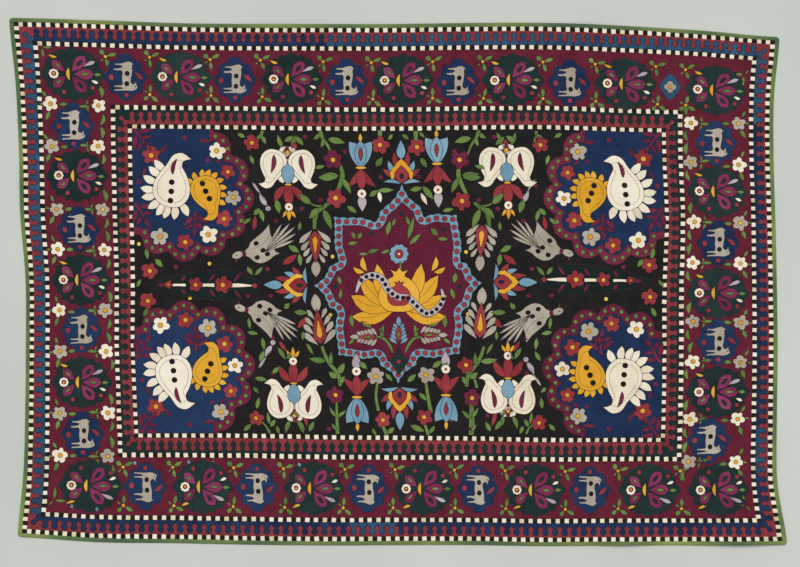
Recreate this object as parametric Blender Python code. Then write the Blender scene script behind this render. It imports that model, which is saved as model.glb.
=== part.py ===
"""Embroidered floor cover: a black wool field, chequered, banded and crimson borders, a green binding.

The cover lies flat on the floor, in metres, +Z up, with X along its length. Every piece is cut as a
straight strip of a regular plan, and is then laid with the pulls and bows of the worn cloth, so
neighbouring pieces share one uneven seam line.
"""

import math

import bmesh
import bpy

# The plan before wear: the whole cover, and how wide each strip round the field is. The long strips
# run along X and the short ones along Y, and three of them differ in width.
LENGTH = 2.068
WIDTH = 1.430
BINDING_WIDTH = 0.011
CHECK_WIDTH = 0.012
OUTER_BAND_LONG = 0.038
OUTER_BAND_SHORT = 0.032
MAIN_BORDER_LONG = 0.155
MAIN_BORDER_SHORT = 0.184
INNER_BAND_LONG = 0.040
INNER_BAND_SHORT = 0.033

CLOTH_THICKNESS = 0.002
SEAM_GAP = 0.0003

# Lines of the plan are shared by all pieces, so that two pieces bend at the same points of a seam.
LINE_STEP = 0.080
LINE_CLEARANCE = 0.020

# The rings round the field, from the outside in. In each, the two long strips run the whole length
# and the two short ones fit between them.
RING_COLUMNS = ("name", "long_width", "short_width", "wool")
RINGS = (
    ("binding", BINDING_WIDTH, BINDING_WIDTH, "green_wool"),
    ("check_1", CHECK_WIDTH, CHECK_WIDTH, "chequer_wool"),
    ("outer_band", OUTER_BAND_LONG, OUTER_BAND_SHORT, "blue_wool"),
    ("check_2", CHECK_WIDTH, CHECK_WIDTH, "chequer_wool"),
    ("main_border", MAIN_BORDER_LONG, MAIN_BORDER_SHORT, "crimson_wool"),
    ("check_3", CHECK_WIDTH, CHECK_WIDTH, "chequer_wool"),
    ("inner_band", INNER_BAND_LONG, INNER_BAND_SHORT, "red_wool"),
    ("check_4", CHECK_WIDTH, CHECK_WIDTH, "chequer_wool"),
)

# The folded binding: how high its fold stands at each distance in from the outer edge.
PROFILE_COLUMNS = ("distance", "height")
BINDING_PROFILE = (
    (0.0, 0.0014),
    (0.002, 0.0029),
    (0.005, 0.0034),
    (BINDING_WIDTH, 0.0026),
)
CORNER_RADIUS = 0.010

# How far the plan's lines have been pulled, in millimetres towards +X, at even shares of the width
# from the near edge to the far one. The two field columns are the seam round the field.
PULL_X_COLUMNS = ("left_edge", "left_field", "right_field", "right_edge")
PULL_X = (
    (-15, 14, -14, 29),
    (1, 14, -14, 1),
    (6, 6, -8, 1),
    (8, -1, -6, 3),
    (7, -1, -5, 1),
    (-7, -4, 1, -3),
    (-11, -8, -6, -8),
    (-20, -9, -8, -7),
    (-38, -10, -8, 8),
)
# The same towards +Y, at even shares of the length from the left edge to the right one.
PULL_Y_COLUMNS = ("near_edge", "near_field", "far_field", "far_edge")
PULL_Y = (
    (22, 16, 8, 17),
    (8, 15, 5, 11),
    (5, 15, 4, 3),
    (1, 14, 2, 0),
    (-1, 10, -1, 0),
    (0, 8, -1, 0),
    (0, 6, 2, 3),
    (-3, 2, 3, 3),
    (-1, 3, -4, -5),
    (-1, 3, -8, -18),
    (0, 3, -14, -36),
)
MILLIMETRE = 0.001

# The low waves in which the edge stands off the floor: where on the plan, how far, how high.
WAVE_COLUMNS = ("at_x", "at_y", "reach_x", "reach_y", "height")
WAVES = (
    (0.624, -0.715, 0.060, 0.050, 0.0060),
    (0.920, -0.715, 0.075, 0.055, 0.0070),
    (0.520, 0.715, 0.070, 0.045, 0.0040),
    (-0.330, 0.715, 0.080, 0.040, 0.0030),
    (1.034, -0.480, 0.045, 0.070, 0.0040),
    (-1.034, 0.240, 0.040, 0.080, 0.0030),
)
FLAT_BELOW = 0.00005

# Base colour and roughness of each wool.
WOOLS = {
    "green_wool": ((0.105, 0.190, 0.050), 0.90),
    "chequer_wool": ((0.300, 0.280, 0.220), 0.90),
    "blue_wool": ((0.035, 0.065, 0.160), 0.88),
    "crimson_wool": ((0.165, 0.018, 0.050), 0.90),
    "red_wool": ((0.340, 0.040, 0.050), 0.90),
    "black_wool": ((0.018, 0.017, 0.020), 0.92),
}


def clear_scene():
    """Remove whatever the startup file holds."""
    for obj in list(bpy.data.objects):
        bpy.data.objects.remove(obj, do_unlink=True)


def wool(name):
    """The material of one wool cloth."""
    colour, roughness = WOOLS[name]
    material = bpy.data.materials.new(name)
    material.use_nodes = True
    shader = material.node_tree.nodes["Principled BSDF"]
    shader.inputs["Base Color"].default_value = (*colour, 1.0)
    shader.inputs["Roughness"].default_value = roughness
    shader.inputs["Metallic"].default_value = 0.0
    return material


def smooth_between(values, share):
    """Read evenly spaced values at a share of their length, along a smooth curve through them."""
    last = len(values) - 1
    place = min(max(share, 0.0), 1.0) * last
    start = min(int(place), last - 1)
    t = place - start
    before, here, there, after = (values[min(max(start + k, 0), last)] for k in (-1, 0, 1, 2))
    return 0.5 * (
        2 * here
        + (there - before) * t
        + (2 * before - 5 * here + 4 * there - after) * t**2
        + (3 * here - before - 3 * there + after) * t**3
    )


def straight_between(places, values, place):
    """Read values given at rising places, along straight lines between them."""
    for k in range(len(places) - 1):
        if place <= places[k + 1] or k == len(places) - 2:
            t = (place - places[k]) / (places[k + 1] - places[k])
            return values[k] + (values[k + 1] - values[k]) * t


def pull(table, share, place, half, field_half):
    """The pull at one point of the plan, in metres, from a table's four lines across it."""
    pulls = [smooth_between(column, share) for column in zip(*table)]
    return straight_between((-half, -field_half, field_half, half), pulls, place) * MILLIMETRE


def laid(u, v):
    """Where a point of the plan lies on the floor."""
    x = u + pull(PULL_X, v / WIDTH + 0.5, u, LENGTH / 2, HALF_LENGTHS[-1])
    y = v + pull(PULL_Y, u / LENGTH + 0.5, v, WIDTH / 2, HALF_WIDTHS[-1])
    return x, y


def wave_height(u, v):
    """How far the cloth stands off the floor at a point of the plan."""
    height = 0.0
    for at_x, at_y, reach_x, reach_y, peak in WAVES:
        height += peak * math.exp(-(((u - at_x) / reach_x) ** 2) - ((v - at_y) / reach_y) ** 2)
    return height if height > FLAT_BELOW else 0.0


def half_sizes(whole, widths):
    """Half the size of each ring from the outside in, with the field's last."""
    halves = [whole / 2]
    for width in widths:
        halves.append(halves[-1] - width)
    return halves


HALF_LENGTHS = half_sizes(LENGTH, [ring[2] for ring in RINGS])
HALF_WIDTHS = half_sizes(WIDTH, [ring[1] for ring in RINGS])


def plan_lines(halves):
    """The lines that all pieces share one way: every ring's edges, and even steps in between."""
    edges = [sign * half for half in halves for sign in (-1, 1)]
    count = round(2 * halves[0] / LINE_STEP)
    steps = [halves[0] * (2 * k / count - 1) for k in range(count + 1)]
    free = [step for step in steps if min(abs(step - edge) for edge in edges) > LINE_CLEARANCE]
    return sorted(edges + free)


def cut(start, end, lines):
    """The lines of one piece: its two edges, each half a seam gap in, and what lies between them."""
    inner = [line for line in lines if start + SEAM_GAP < line < end - SEAM_GAP]
    return [start + SEAM_GAP / 2, *inner, end - SEAM_GAP / 2]


def edge_distance(u, v):
    """How far a point of the plan is from the nearest outer edge."""
    return min(LENGTH / 2 - abs(u), WIDTH / 2 - abs(v))


def binding_height(u, v):
    """The height of the binding's fold at a point of the plan."""
    distances, heights = zip(*BINDING_PROFILE)
    return straight_between(distances, heights, edge_distance(u, v))


def cloth_height(u, v):
    """The height of flat cloth, the same all over."""
    return CLOTH_THICKNESS


def round_corner(u, v):
    """Bring a point near one of the plan's four corners onto rings round the corner's centre."""
    from_centre_x = abs(u) - (LENGTH / 2 - CORNER_RADIUS)
    from_centre_y = abs(v) - (WIDTH / 2 - CORNER_RADIUS)
    if min(from_centre_x, from_centre_y) <= 0.0:
        return u, v
    scale = max(from_centre_x, from_centre_y) / math.hypot(from_centre_x, from_centre_y)
    round_x = LENGTH / 2 - CORNER_RADIUS + from_centre_x * scale
    round_y = WIDTH / 2 - CORNER_RADIUS + from_centre_y * scale
    return math.copysign(round_x, u), math.copysign(round_y, v)


def cloth_piece(name, columns, rows, material, height=cloth_height, one_face=False):
    """One piece of cloth: a grid of the plan given its thickness, then laid on the floor."""
    bm = bmesh.new()
    x_cells = len(columns) - 1
    y_cells = len(rows) - 1
    bmesh.ops.create_grid(bm, x_segments=x_cells, y_segments=y_cells, size=1.0)
    for vert in bm.verts:
        column = round((vert.co.x + 1.0) / 2 * x_cells)
        row = round((vert.co.y + 1.0) / 2 * y_cells)
        vert.co = (columns[column], rows[row], 0.0)
    if one_face:
        bmesh.ops.dissolve_faces(bm, faces=bm.faces[:])
    extruded = bmesh.ops.extrude_face_region(bm, geom=bm.faces[:], use_keep_orig=True)
    upper = {item for item in extruded["geom"] if isinstance(item, bmesh.types.BMVert)}
    for vert in bm.verts:
        u, v = vert.co.x, vert.co.y
        x, y = laid(*round_corner(u, v))
        z = wave_height(u, v) + (height(u, v) if vert in upper else 0.0)
        vert.co = (x, y, z)
    bmesh.ops.recalc_face_normals(bm, faces=bm.faces[:])
    mesh = bpy.data.meshes.new(name)
    bm.to_mesh(mesh)
    bm.free()
    mesh.materials.append(material)
    return bpy.data.objects.new(name, mesh)


def field(x_lines, y_lines, material):
    """The middle panel, flat on both faces."""
    columns = cut(-HALF_LENGTHS[-1], HALF_LENGTHS[-1], x_lines)
    rows = cut(-HALF_WIDTHS[-1], HALF_WIDTHS[-1], y_lines)
    return cloth_piece("field", columns, rows, material, one_face=True)


def ring_strips(number, x_lines, y_lines, material):
    """The four strips of one ring: far and near along X, left and right between them."""
    name = RINGS[number][0]
    height = binding_height if name == "binding" else cloth_height
    outer_x, inner_x = HALF_LENGTHS[number : number + 2]
    outer_y, inner_y = HALF_WIDTHS[number : number + 2]
    strips = (
        ("far", (-outer_x, outer_x), (inner_y, outer_y)),
        ("near", (-outer_x, outer_x), (-outer_y, -inner_y)),
        ("left", (-outer_x, -inner_x), (-inner_y, inner_y)),
        ("right", (inner_x, outer_x), (-inner_y, inner_y)),
    )
    for side, x_span, y_span in strips:
        columns = cut(*x_span, x_lines)
        rows = cut(*y_span, y_lines)
        yield cloth_piece(f"{side}_{name}", columns, rows, material, height)


def fold_lines(half):
    """The lines along the binding's fold, on both sides of the plan."""
    return [sign * (half - distance) for distance, _ in BINDING_PROFILE[1:-1] for sign in (-1, 1)]


def centre_on_origin(pieces):
    """Move all pieces alike, so that the middle of the whole cover stands at x = y = 0."""
    corners = [vert.co for piece in pieces for vert in piece.data.vertices]
    middle_x = (min(co.x for co in corners) + max(co.x for co in corners)) / 2
    middle_y = (min(co.y for co in corners) + max(co.y for co in corners)) / 2
    for piece in pieces:
        piece.location = (-middle_x, -middle_y, 0.0)


def build():
    """Model the whole cover in its own collection."""
    clear_scene()
    x_lines = plan_lines(HALF_LENGTHS)
    y_lines = plan_lines(HALF_WIDTHS)
    fold_x_lines = sorted(x_lines + fold_lines(LENGTH / 2))
    fold_y_lines = sorted(y_lines + fold_lines(WIDTH / 2))
    wools = {name: wool(name) for name in WOOLS}
    pieces = [field(x_lines, y_lines, wools["black_wool"])]
    for number, ring in enumerate(RINGS):
        lines = (fold_x_lines, fold_y_lines) if ring[0] == "binding" else (x_lines, y_lines)
        pieces.extend(ring_strips(number, *lines, wools[ring[3]]))
    centre_on_origin(pieces)
    collection = bpy.data.collections.new("embroidered_floor_cover")
    bpy.context.scene.collection.children.link(collection)
    for piece in pieces:
        collection.objects.link(piece)


build()
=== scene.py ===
# %% [markdown]
# # An embroidered floor cover, laid out flat
#
# The real cover is inlaid patchwork: small pieces of fulled wool in some twenty colours are cut out, fitted
# into a ground cloth, seamed, and the seams are covered with silk chain stitch. This lesson makes each
# ground cloth as a thin sheet, cuts every small patch from an outline, sews a chain along its edge, and
# then lays everything together on the uneven plan of the worn cover.

# %% Load the fixed frame and keep its box
import math
import random

import bpy
import numpy as np
from mathutils import Matrix


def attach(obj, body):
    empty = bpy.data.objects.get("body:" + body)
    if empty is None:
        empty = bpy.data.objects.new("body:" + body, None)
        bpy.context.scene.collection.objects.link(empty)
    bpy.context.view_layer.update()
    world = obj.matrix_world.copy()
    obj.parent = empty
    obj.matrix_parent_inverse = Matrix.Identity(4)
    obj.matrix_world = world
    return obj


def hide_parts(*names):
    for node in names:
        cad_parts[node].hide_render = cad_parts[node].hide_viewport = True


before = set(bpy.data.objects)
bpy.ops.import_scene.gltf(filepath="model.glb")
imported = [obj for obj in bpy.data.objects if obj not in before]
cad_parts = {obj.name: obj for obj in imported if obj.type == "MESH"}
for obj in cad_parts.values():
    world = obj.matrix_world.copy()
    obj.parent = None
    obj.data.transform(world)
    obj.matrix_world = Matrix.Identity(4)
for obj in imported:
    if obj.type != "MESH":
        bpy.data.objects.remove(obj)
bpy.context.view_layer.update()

# %% [markdown]
# ## The plan and how the worn cloth lies
#
# The maker thinks in a straight plan: a rectangle with rings of borders. The worn cover is pulled out of
# true by a few millimetres to a few centimetres. So every piece is first made on the straight plan, and
# one function moves its points to where the cloth lies. All pieces then stay together, as sewn ones do.

# %% Sizes of the plan, in metres
LENGTH = 2.068
WIDTH = 1.430
CLOTH_THICKNESS = 0.002
MM = 0.001

# Each ring, from the outside in: its name, its width on the long sides and its width on the short ones.
RINGS = (
    ("binding", 0.011, 0.011),
    ("check_1", 0.012, 0.012),
    ("outer_band", 0.038, 0.032),
    ("check_2", 0.012, 0.012),
    ("main_border", 0.155, 0.184),
    ("check_3", 0.012, 0.012),
    ("inner_band", 0.040, 0.033),
    ("check_4", 0.012, 0.012),
)


def half_sizes(whole, widths):
    """Half the size of each ring from the outside in, with the field's last."""
    halves = [whole / 2]
    for width in widths:
        halves.append(halves[-1] - width)
    return halves


HALF_LENGTHS = half_sizes(LENGTH, [ring[2] for ring in RINGS])
HALF_WIDTHS = half_sizes(WIDTH, [ring[1] for ring in RINGS])
print("field:", 2 * HALF_LENGTHS[-1], "x", 2 * HALF_WIDTHS[-1])

# %% Pulls of the plan's lines, in millimetres
# Each row, from the near edge to the far one: left edge, left and right of the field, right edge.
PULL_X = (
    (-15, 14, -14, 29), (1, 14, -14, 1), (6, 6, -8, 1), (8, -1, -6, 3), (7, -1, -5, 1), (-7, -4, 1, -3),
    (-11, -8, -6, -8), (-20, -9, -8, -7), (-38, -10, -8, 8),
)
# Each row, from the left end to the right one: near edge, near and far side of the field, far edge.
PULL_Y = (
    (22, 16, 8, 17), (8, 15, 5, 11), (5, 15, 4, 3), (1, 14, 2, 0), (-1, 10, -1, 0), (0, 8, -1, 0),
    (0, 6, 2, 3), (-3, 2, 3, 3), (-1, 3, -4, -5), (-1, 3, -8, -18), (0, 3, -14, -36),
)


def smooth_between(values, share):
    """Read evenly spaced values at shares of their length, along a smooth curve through them."""
    values = np.array(values, float)
    last = len(values) - 1
    place = np.clip(share, 0.0, 1.0) * last
    start = np.minimum(place.astype(int), last - 1)
    t = place - start
    before, here, there, after = (values[np.clip(start + k, 0, last)] for k in (-1, 0, 1, 2))
    bend = (2 * before - 5 * here + 4 * there - after) * t**2
    return 0.5 * (2 * here + (there - before) * t + bend + (3 * here - before - 3 * there + after) * t**3)


def pull(table, share, place, half, field_half):
    """The pull at points of the plan, in metres, from a table's four lines across it."""
    outer_low, inner_low, inner_high, outer_high = (smooth_between(c, share) for c in zip(*table))
    low = np.clip((place + half) / (half - field_half), 0.0, 1.0)
    middle = np.clip((place + field_half) / (2 * field_half), 0.0, 1.0)
    high = np.clip((place - field_half) / (half - field_half), 0.0, 1.0)
    rise = (inner_low - outer_low) * low + (inner_high - inner_low) * middle
    return (outer_low + rise + (outer_high - inner_high) * high) * MM


def laid(u, v):
    """Where points of the plan lie, before the whole cover is centred."""
    x = u + pull(PULL_X, v / WIDTH + 0.5, u, LENGTH / 2, HALF_LENGTHS[-1])
    y = v + pull(PULL_Y, u / LENGTH + 0.5, v, WIDTH / 2, HALF_WIDTHS[-1])
    return x, y


# %% [markdown]
# The four corners of the plan are a little rounded, and the edge stands off the floor in a few low waves.
# The rest of the cloth is never quite flat either: thick wool that has been rolled up keeps a very slow
# swell of less than a millimetre, which shows only as soft changes of tone.

# %% Corners, waves and swell
CORNER_RADIUS = 0.010
# Each wave: where its top is along u and v, how far it reaches along u and v, and its height.
WAVES = (
    (0.624, -0.715, 0.060, 0.050, 0.0060),
    (0.920, -0.715, 0.075, 0.055, 0.0070),
    (0.520, 0.715, 0.070, 0.045, 0.0040),
    (-0.330, 0.715, 0.080, 0.040, 0.0030),
    (1.034, -0.480, 0.045, 0.070, 0.0040),
    (-1.034, 0.240, 0.040, 0.080, 0.0030),
)
SWELL_HEIGHT = 0.0007
# Each slow swell: its radians a metre along u and along v, and its start.
SWELLS = ((11.0, 4.0, 1.0), (-5.0, 13.0, 0.0), (7.0, -9.0, 2.0))
EDGE_COUNT = 1001


def round_corners(u, v):
    """Bring points near the plan's four corners onto rings round each corner's centre."""
    over_x = np.abs(u) - (LENGTH / 2 - CORNER_RADIUS)
    over_y = np.abs(v) - (WIDTH / 2 - CORNER_RADIUS)
    inside = np.minimum(over_x, over_y) <= 0.0
    far = np.maximum(np.hypot(over_x, over_y), 1e-9)
    scale = np.where(inside, 1.0, np.maximum(over_x, over_y) / far)
    round_u = np.copysign(LENGTH / 2 - CORNER_RADIUS + over_x * scale, u)
    round_v = np.copysign(WIDTH / 2 - CORNER_RADIUS + over_y * scale, v)
    return np.where(inside, u, round_u), np.where(inside, v, round_v)


def standing(u, v):
    """How far the cloth stands off the floor at points of the plan."""
    height = np.zeros_like(u)
    for at_x, at_y, reach_x, reach_y, peak in WAVES:
        height += peak * np.exp(-(((u - at_x) / reach_x) ** 2) - ((v - at_y) / reach_y) ** 2)
    first, second, third = (np.sin(along_u * u + along_v * v + start) for along_u, along_v, start in SWELLS)
    return height + SWELL_HEIGHT * (0.5 + 0.25 * (first * second + third))


def edge_points():
    """Points all round the outer edge of the plan."""
    t = np.linspace(-1.0, 1.0, EDGE_COUNT)
    one = np.ones_like(t)
    u = np.concatenate([t, t, one, -one]) * LENGTH / 2
    v = np.concatenate([one, -one, t, t]) * WIDTH / 2
    return laid(*round_corners(u, v))


edge_x, edge_y = edge_points()
MIDDLE_X = (edge_x.min() + edge_x.max()) / 2
MIDDLE_Y = (edge_y.min() + edge_y.max()) / 2
print("laid size:", np.ptp(edge_x), np.ptp(edge_y), "middle:", MIDDLE_X, MIDDLE_Y)


def on_floor(points):
    """Lay points of the plan, an array of u, v and height above the floor, as the cloth lies."""
    u, v = round_corners(points[:, 0], points[:, 1])
    x, y = laid(u, v)
    return np.stack([x - MIDDLE_X, y - MIDDLE_Y, points[:, 2] + standing(u, v)], axis=1)


# %% [markdown]
# ## Camera
#
# The photograph looks straight down at the middle of the cover. A long lens from high up keeps the far
# edges as large as the middle, so the picture shows the plan without perspective.

# %% Camera and the photograph's scale
PHOTO_MIDDLE_X = 399.75
PHOTO_MIDDLE_Y = 284.5
MM_PER_PIXEL = 2.745
FRAME_WIDTH = 800
FRAME_HEIGHT = 567
CAMERA_HEIGHT = 6.0
SENSOR_WIDTH = 36.0
SPOT_TRIES = 4


def photo_floor(px, py):
    """The place on the floor, in metres, that a pixel of the photograph shows, before centring."""
    return (px - PHOTO_MIDDLE_X) * MM_PER_PIXEL * MM, (PHOTO_MIDDLE_Y - py) * MM_PER_PIXEL * MM


def spot(px, py):
    """The place on the straight plan, in millimetres, of a pixel of the photograph."""
    x, y = photo_floor(px, py)
    u = np.array([x], float)
    v = np.array([y], float)
    for _ in range(SPOT_TRIES):
        laid_x, laid_y = laid(u, v)
        u = u + x - laid_x
        v = v + y - laid_y
    return float(u[0]) / MM, float(v[0]) / MM


def spots(rows):
    """Places on the plan from rows that start with a pixel, each with whatever else its row gives."""
    return [(*spot(px, py), *rest) for px, py, *rest in rows]


view_x, view_y = photo_floor(FRAME_WIDTH / 2, FRAME_HEIGHT / 2)
bpy.ops.object.camera_add(location=(view_x - MIDDLE_X, view_y - MIDDLE_Y, CAMERA_HEIGHT), rotation=(0, 0, 0))
camera = bpy.context.object
camera.data.sensor_width = SENSOR_WIDTH
camera.data.lens = SENSOR_WIDTH * CAMERA_HEIGHT / (FRAME_WIDTH * MM_PER_PIXEL * MM)
bpy.context.scene.camera = camera
print("camera:", tuple(camera.location), "lens", camera.data.lens)

# %% [markdown]
# ## Floor and light
#
# A plain pale floor and light from all round, with one wide soft lamp from the far side. It leaves only a
# faint shadow beside the near edge, as under the lifted waves in the photograph.

# %% One function for colours and one for nodes


def linear(hex_colour):
    """Turn an sRGB hex colour to the linear values that a shader takes."""
    parts = [int(hex_colour[k : k + 2], 16) / 255 for k in (1, 3, 5)]
    return (*(p / 12.92 if p <= 0.04045 else ((p + 0.055) / 1.055) ** 2.4 for p in parts), 1.0)


def add_node(tree, kind, settings=(), inputs=()):
    """Add one node. Settings are its own choices or a ramp's stops, inputs numbers or other outputs."""
    node = tree.nodes.new(kind)
    for name, value in dict(settings).items():
        if name != "stops":
            setattr(node, name, value)
            continue
        while len(node.color_ramp.elements) < len(value):
            node.color_ramp.elements.new(0.5)
        for element, (share, colour) in zip(node.color_ramp.elements, value):
            element.position = share
            element.color = linear(colour)
    for name, value in dict(inputs).items():
        if isinstance(value, bpy.types.NodeSocket):
            tree.links.new(value, node.inputs[name])
        else:
            node.inputs[name].default_value = value
    return node


def new_material(name, roughness, sheen=0.0):
    """A material with its shader, and the place on the piece that its patterns start from."""
    material = bpy.data.materials.new(name)
    material.use_nodes = True
    tree = material.node_tree
    shader = tree.nodes["Principled BSDF"]
    shader.inputs["Roughness"].default_value = roughness
    shader.inputs["Specular IOR Level"].default_value = 0.15
    shader.inputs["Sheen Weight"].default_value = sheen
    shader.inputs["Sheen Roughness"].default_value = 0.5
    place = add_node(tree, "ShaderNodeTexCoord").outputs["Object"]
    return material, tree, shader, place


def dye_and_raise(tree, shader, tone, stops, height, strength, depth):
    """Colour a material by its tone along a ramp, and raise its grain."""
    colour = add_node(tree, "ShaderNodeValToRGB", {"stops": stops}, {"Fac": tone})
    tree.links.new(colour.outputs["Color"], shader.inputs["Base Color"])
    bump = add_node(tree, "ShaderNodeBump", inputs={
        "Strength": strength, "Distance": depth, "Height": height})
    tree.links.new(bump.outputs["Normal"], shader.inputs["Normal"])


# %% Floor
FLOOR_SIZE = 14.0

bpy.context.scene.view_settings.view_transform = "Standard"
bpy.ops.object.select_all(action="DESELECT")
bpy.ops.mesh.primitive_plane_add(size=FLOOR_SIZE)
floor = bpy.context.object
floor.name = "floor"
material, tree, shader, place = new_material("painted_studio_floor", 0.8)
cloud = add_node(tree, "ShaderNodeTexNoise", inputs={"Vector": place, "Scale": 1.2, "Detail": 2.0})
tint = add_node(tree, "ShaderNodeValToRGB", {"stops": ((0.3, "#c4c9c0"), (0.7, "#ced2c9"))}, {
    "Fac": cloud.outputs["Fac"]})
tree.links.new(tint.outputs["Color"], shader.inputs["Base Color"])
floor.data.materials.append(material)

# %% Light
AIR_STRENGTH = 0.62
LAMP_ENERGY = 1.45
LAMP_SPREAD = math.radians(35)
LAMP_TURN = (math.radians(-35), math.radians(-12), 0.0)

world = bpy.data.worlds.new("studio_air")
bpy.context.scene.world = world
world.use_nodes = True
air = world.node_tree.nodes["Background"]
air.inputs["Color"].default_value = linear("#fbfdff")
air.inputs["Strength"].default_value = AIR_STRENGTH
bpy.ops.object.light_add(type="SUN", location=(0.0, 2.0, 4.0), rotation=LAMP_TURN)
lamp = bpy.context.object
lamp.data.energy = LAMP_ENERGY
lamp.data.angle = LAMP_SPREAD
print("light:", LAMP_ENERGY, "world", AIR_STRENGTH)

# %% [markdown]
# ## Fulled wool
#
# All the cloth is wool broadcloth: woven, then milled until its fibres felt over the weave. To the eye it
# is matt and deep in colour, with a short fibrous grain, and each cut piece has taken the dye a little
# differently. Age has left soft lighter and darker clouds. The real threads are under a millimetre apart,
# so the weave is drawn at 5 mm and the fibre grain at 4 mm to show at all.

# %% Wool broadcloth
GRAIN_MM = 4.0
CLOUD_MM = 45.0
WEAVE_MM = 5.0
# A wave texture repeats every 2 pi / 20 at a scale of 1.
WAVE_REPEAT = 20


def per_metre(millimetres):
    """The scale of a pattern whose features are this many millimetres apart."""
    return 1000.0 / millimetres


def broadcloth(name, dark, plain, light):
    """Fulled wool broadcloth in one dye: fibre grain, a felted-over weave, clouds and a shade a piece."""
    material, tree, shader, place = new_material(name, 0.92, sheen=0.05)
    grain, cloud = (add_node(tree, "ShaderNodeTexNoise", inputs={
        "Vector": place, "Scale": per_metre(size), "Detail": detail, "Roughness": rough}).outputs["Fac"]
        for size, detail, rough in ((GRAIN_MM, 4.0, 0.7), (CLOUD_MM, 3.0, 0.6)))
    wave_scale = per_metre(WEAVE_MM) * 2 * math.pi / WAVE_REPEAT
    warp, weft = (add_node(tree, "ShaderNodeTexWave", {"bands_direction": way}, {
        "Vector": place, "Scale": wave_scale, "Distortion": 1.5, "Detail": 2.0,
        "Detail Scale": 2.0}).outputs["Fac"] for way in "XY")
    shade = add_node(tree, "ShaderNodeAttribute", {"attribute_name": "shade"}).outputs["Fac"]
    threads = add_node(tree, "ShaderNodeMath", {"operation": "MULTIPLY"}, {0: warp, 1: weft}).outputs[0]
    tone = -0.475
    for value, weight in ((grain, 0.9), (cloud, 0.6), (threads, 0.3), (shade, 0.4)):
        tone = add_node(tree, "ShaderNodeMath", {"operation": "MULTIPLY_ADD"}, {
            0: value, 1: weight, 2: tone}).outputs[0]
    height = add_node(tree, "ShaderNodeMath", {"operation": "MULTIPLY_ADD"}, {
        0: threads, 1: 0.5, 2: grain}).outputs[0]
    dye_and_raise(tree, shader, tone, ((0.2, dark), (0.52, plain), (0.85, light)), height, 0.35, 0.0004)
    return material


# Each cloth: its name, then its colour where it is darkest, plain and lightest.
WOOLS = (
    ("black", "#110f10", "#1b1918", "#2a2726"),
    ("crimson", "#4a1021", "#5f1b2c", "#73293b"),
    ("red", "#782529", "#913238", "#a84449"),
    ("dark_green", "#121d1d", "#1b2b2a", "#273a38"),
    ("bottle_green", "#0c1514", "#131e1d", "#1d2b29"),
    ("navy", "#13213e", "#1a2c4d", "#263d62"),
    ("brick_red", "#69262b", "#803038", "#963f46"),
    ("mid_blue", "#1e3c57", "#284a67", "#365f7f"),
    ("light_blue", "#5a8298", "#7299ae", "#8baebd"),
    ("cream", "#d3c4a2", "#ecdfc6", "#f6eedb"),
    ("tan", "#c0ab85", "#d8c7a0", "#e4d6b4"),
    ("leaf_green", "#4c6632", "#627d3d", "#79954e"),
    ("gold", "#c78a1a", "#dfa32b", "#efb848"),
    ("yellow", "#d2a930", "#e6c549", "#f2d768"),
    ("grey", "#93887a", "#aba191", "#c0b7a8"),
    ("lilac", "#9a8c92", "#b3a6aa", "#c8bdbf"),
    ("magenta", "#641b3e", "#7e2951", "#943d66"),
    ("wine", "#4c1026", "#5f1a30", "#722a40"),
    ("maroon", "#55152d", "#6b2039", "#7e3049"),
)
wools = {row[0]: broadcloth(f"{row[0]}_wool_broadcloth", *row[1:]) for row in WOOLS}
print("broadcloths:", len(wools))

# %% [markdown]
# ## Ground cloths
#
# The ground of every ring and of the field is one thin sheet. Each is made as a grid on the plan, given
# the thickness of the wool, and its rim is turned down a little where it meets its seam. The grid is fine
# enough to follow the waves of the edge.

# %% Sheet helpers
GRID_STEP = 0.012
SEAM_GAP = 0.0003
RIM = 0.0007
RIM_DROP = 0.0005


def steps_between(start, end, step=GRID_STEP):
    """Even places from a start to an end, about one step apart."""
    count = max(1, round((end - start) / step))
    return np.linspace(start, end, count + 1)


def put_points(obj, points):
    """Give a piece's mesh new points and bring it up to date."""
    obj.data.vertices.foreach_set("co", np.asarray(points, float).ravel())
    obj.data.update()


def get_points(obj):
    """A piece's points as an array."""
    points = np.empty(len(obj.data.vertices) * 3)
    obj.data.vertices.foreach_get("co", points)
    return points.reshape(-1, 3)


def give_shade(mesh, value):
    """Note how light or dark this piece of cloth took the dye, from 0 to 1."""
    shade = mesh.attributes.get("shade") or mesh.attributes.new("shade", "FLOAT", "POINT")
    shade.data.foreach_set("value", np.full(len(mesh.vertices), value))


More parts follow.
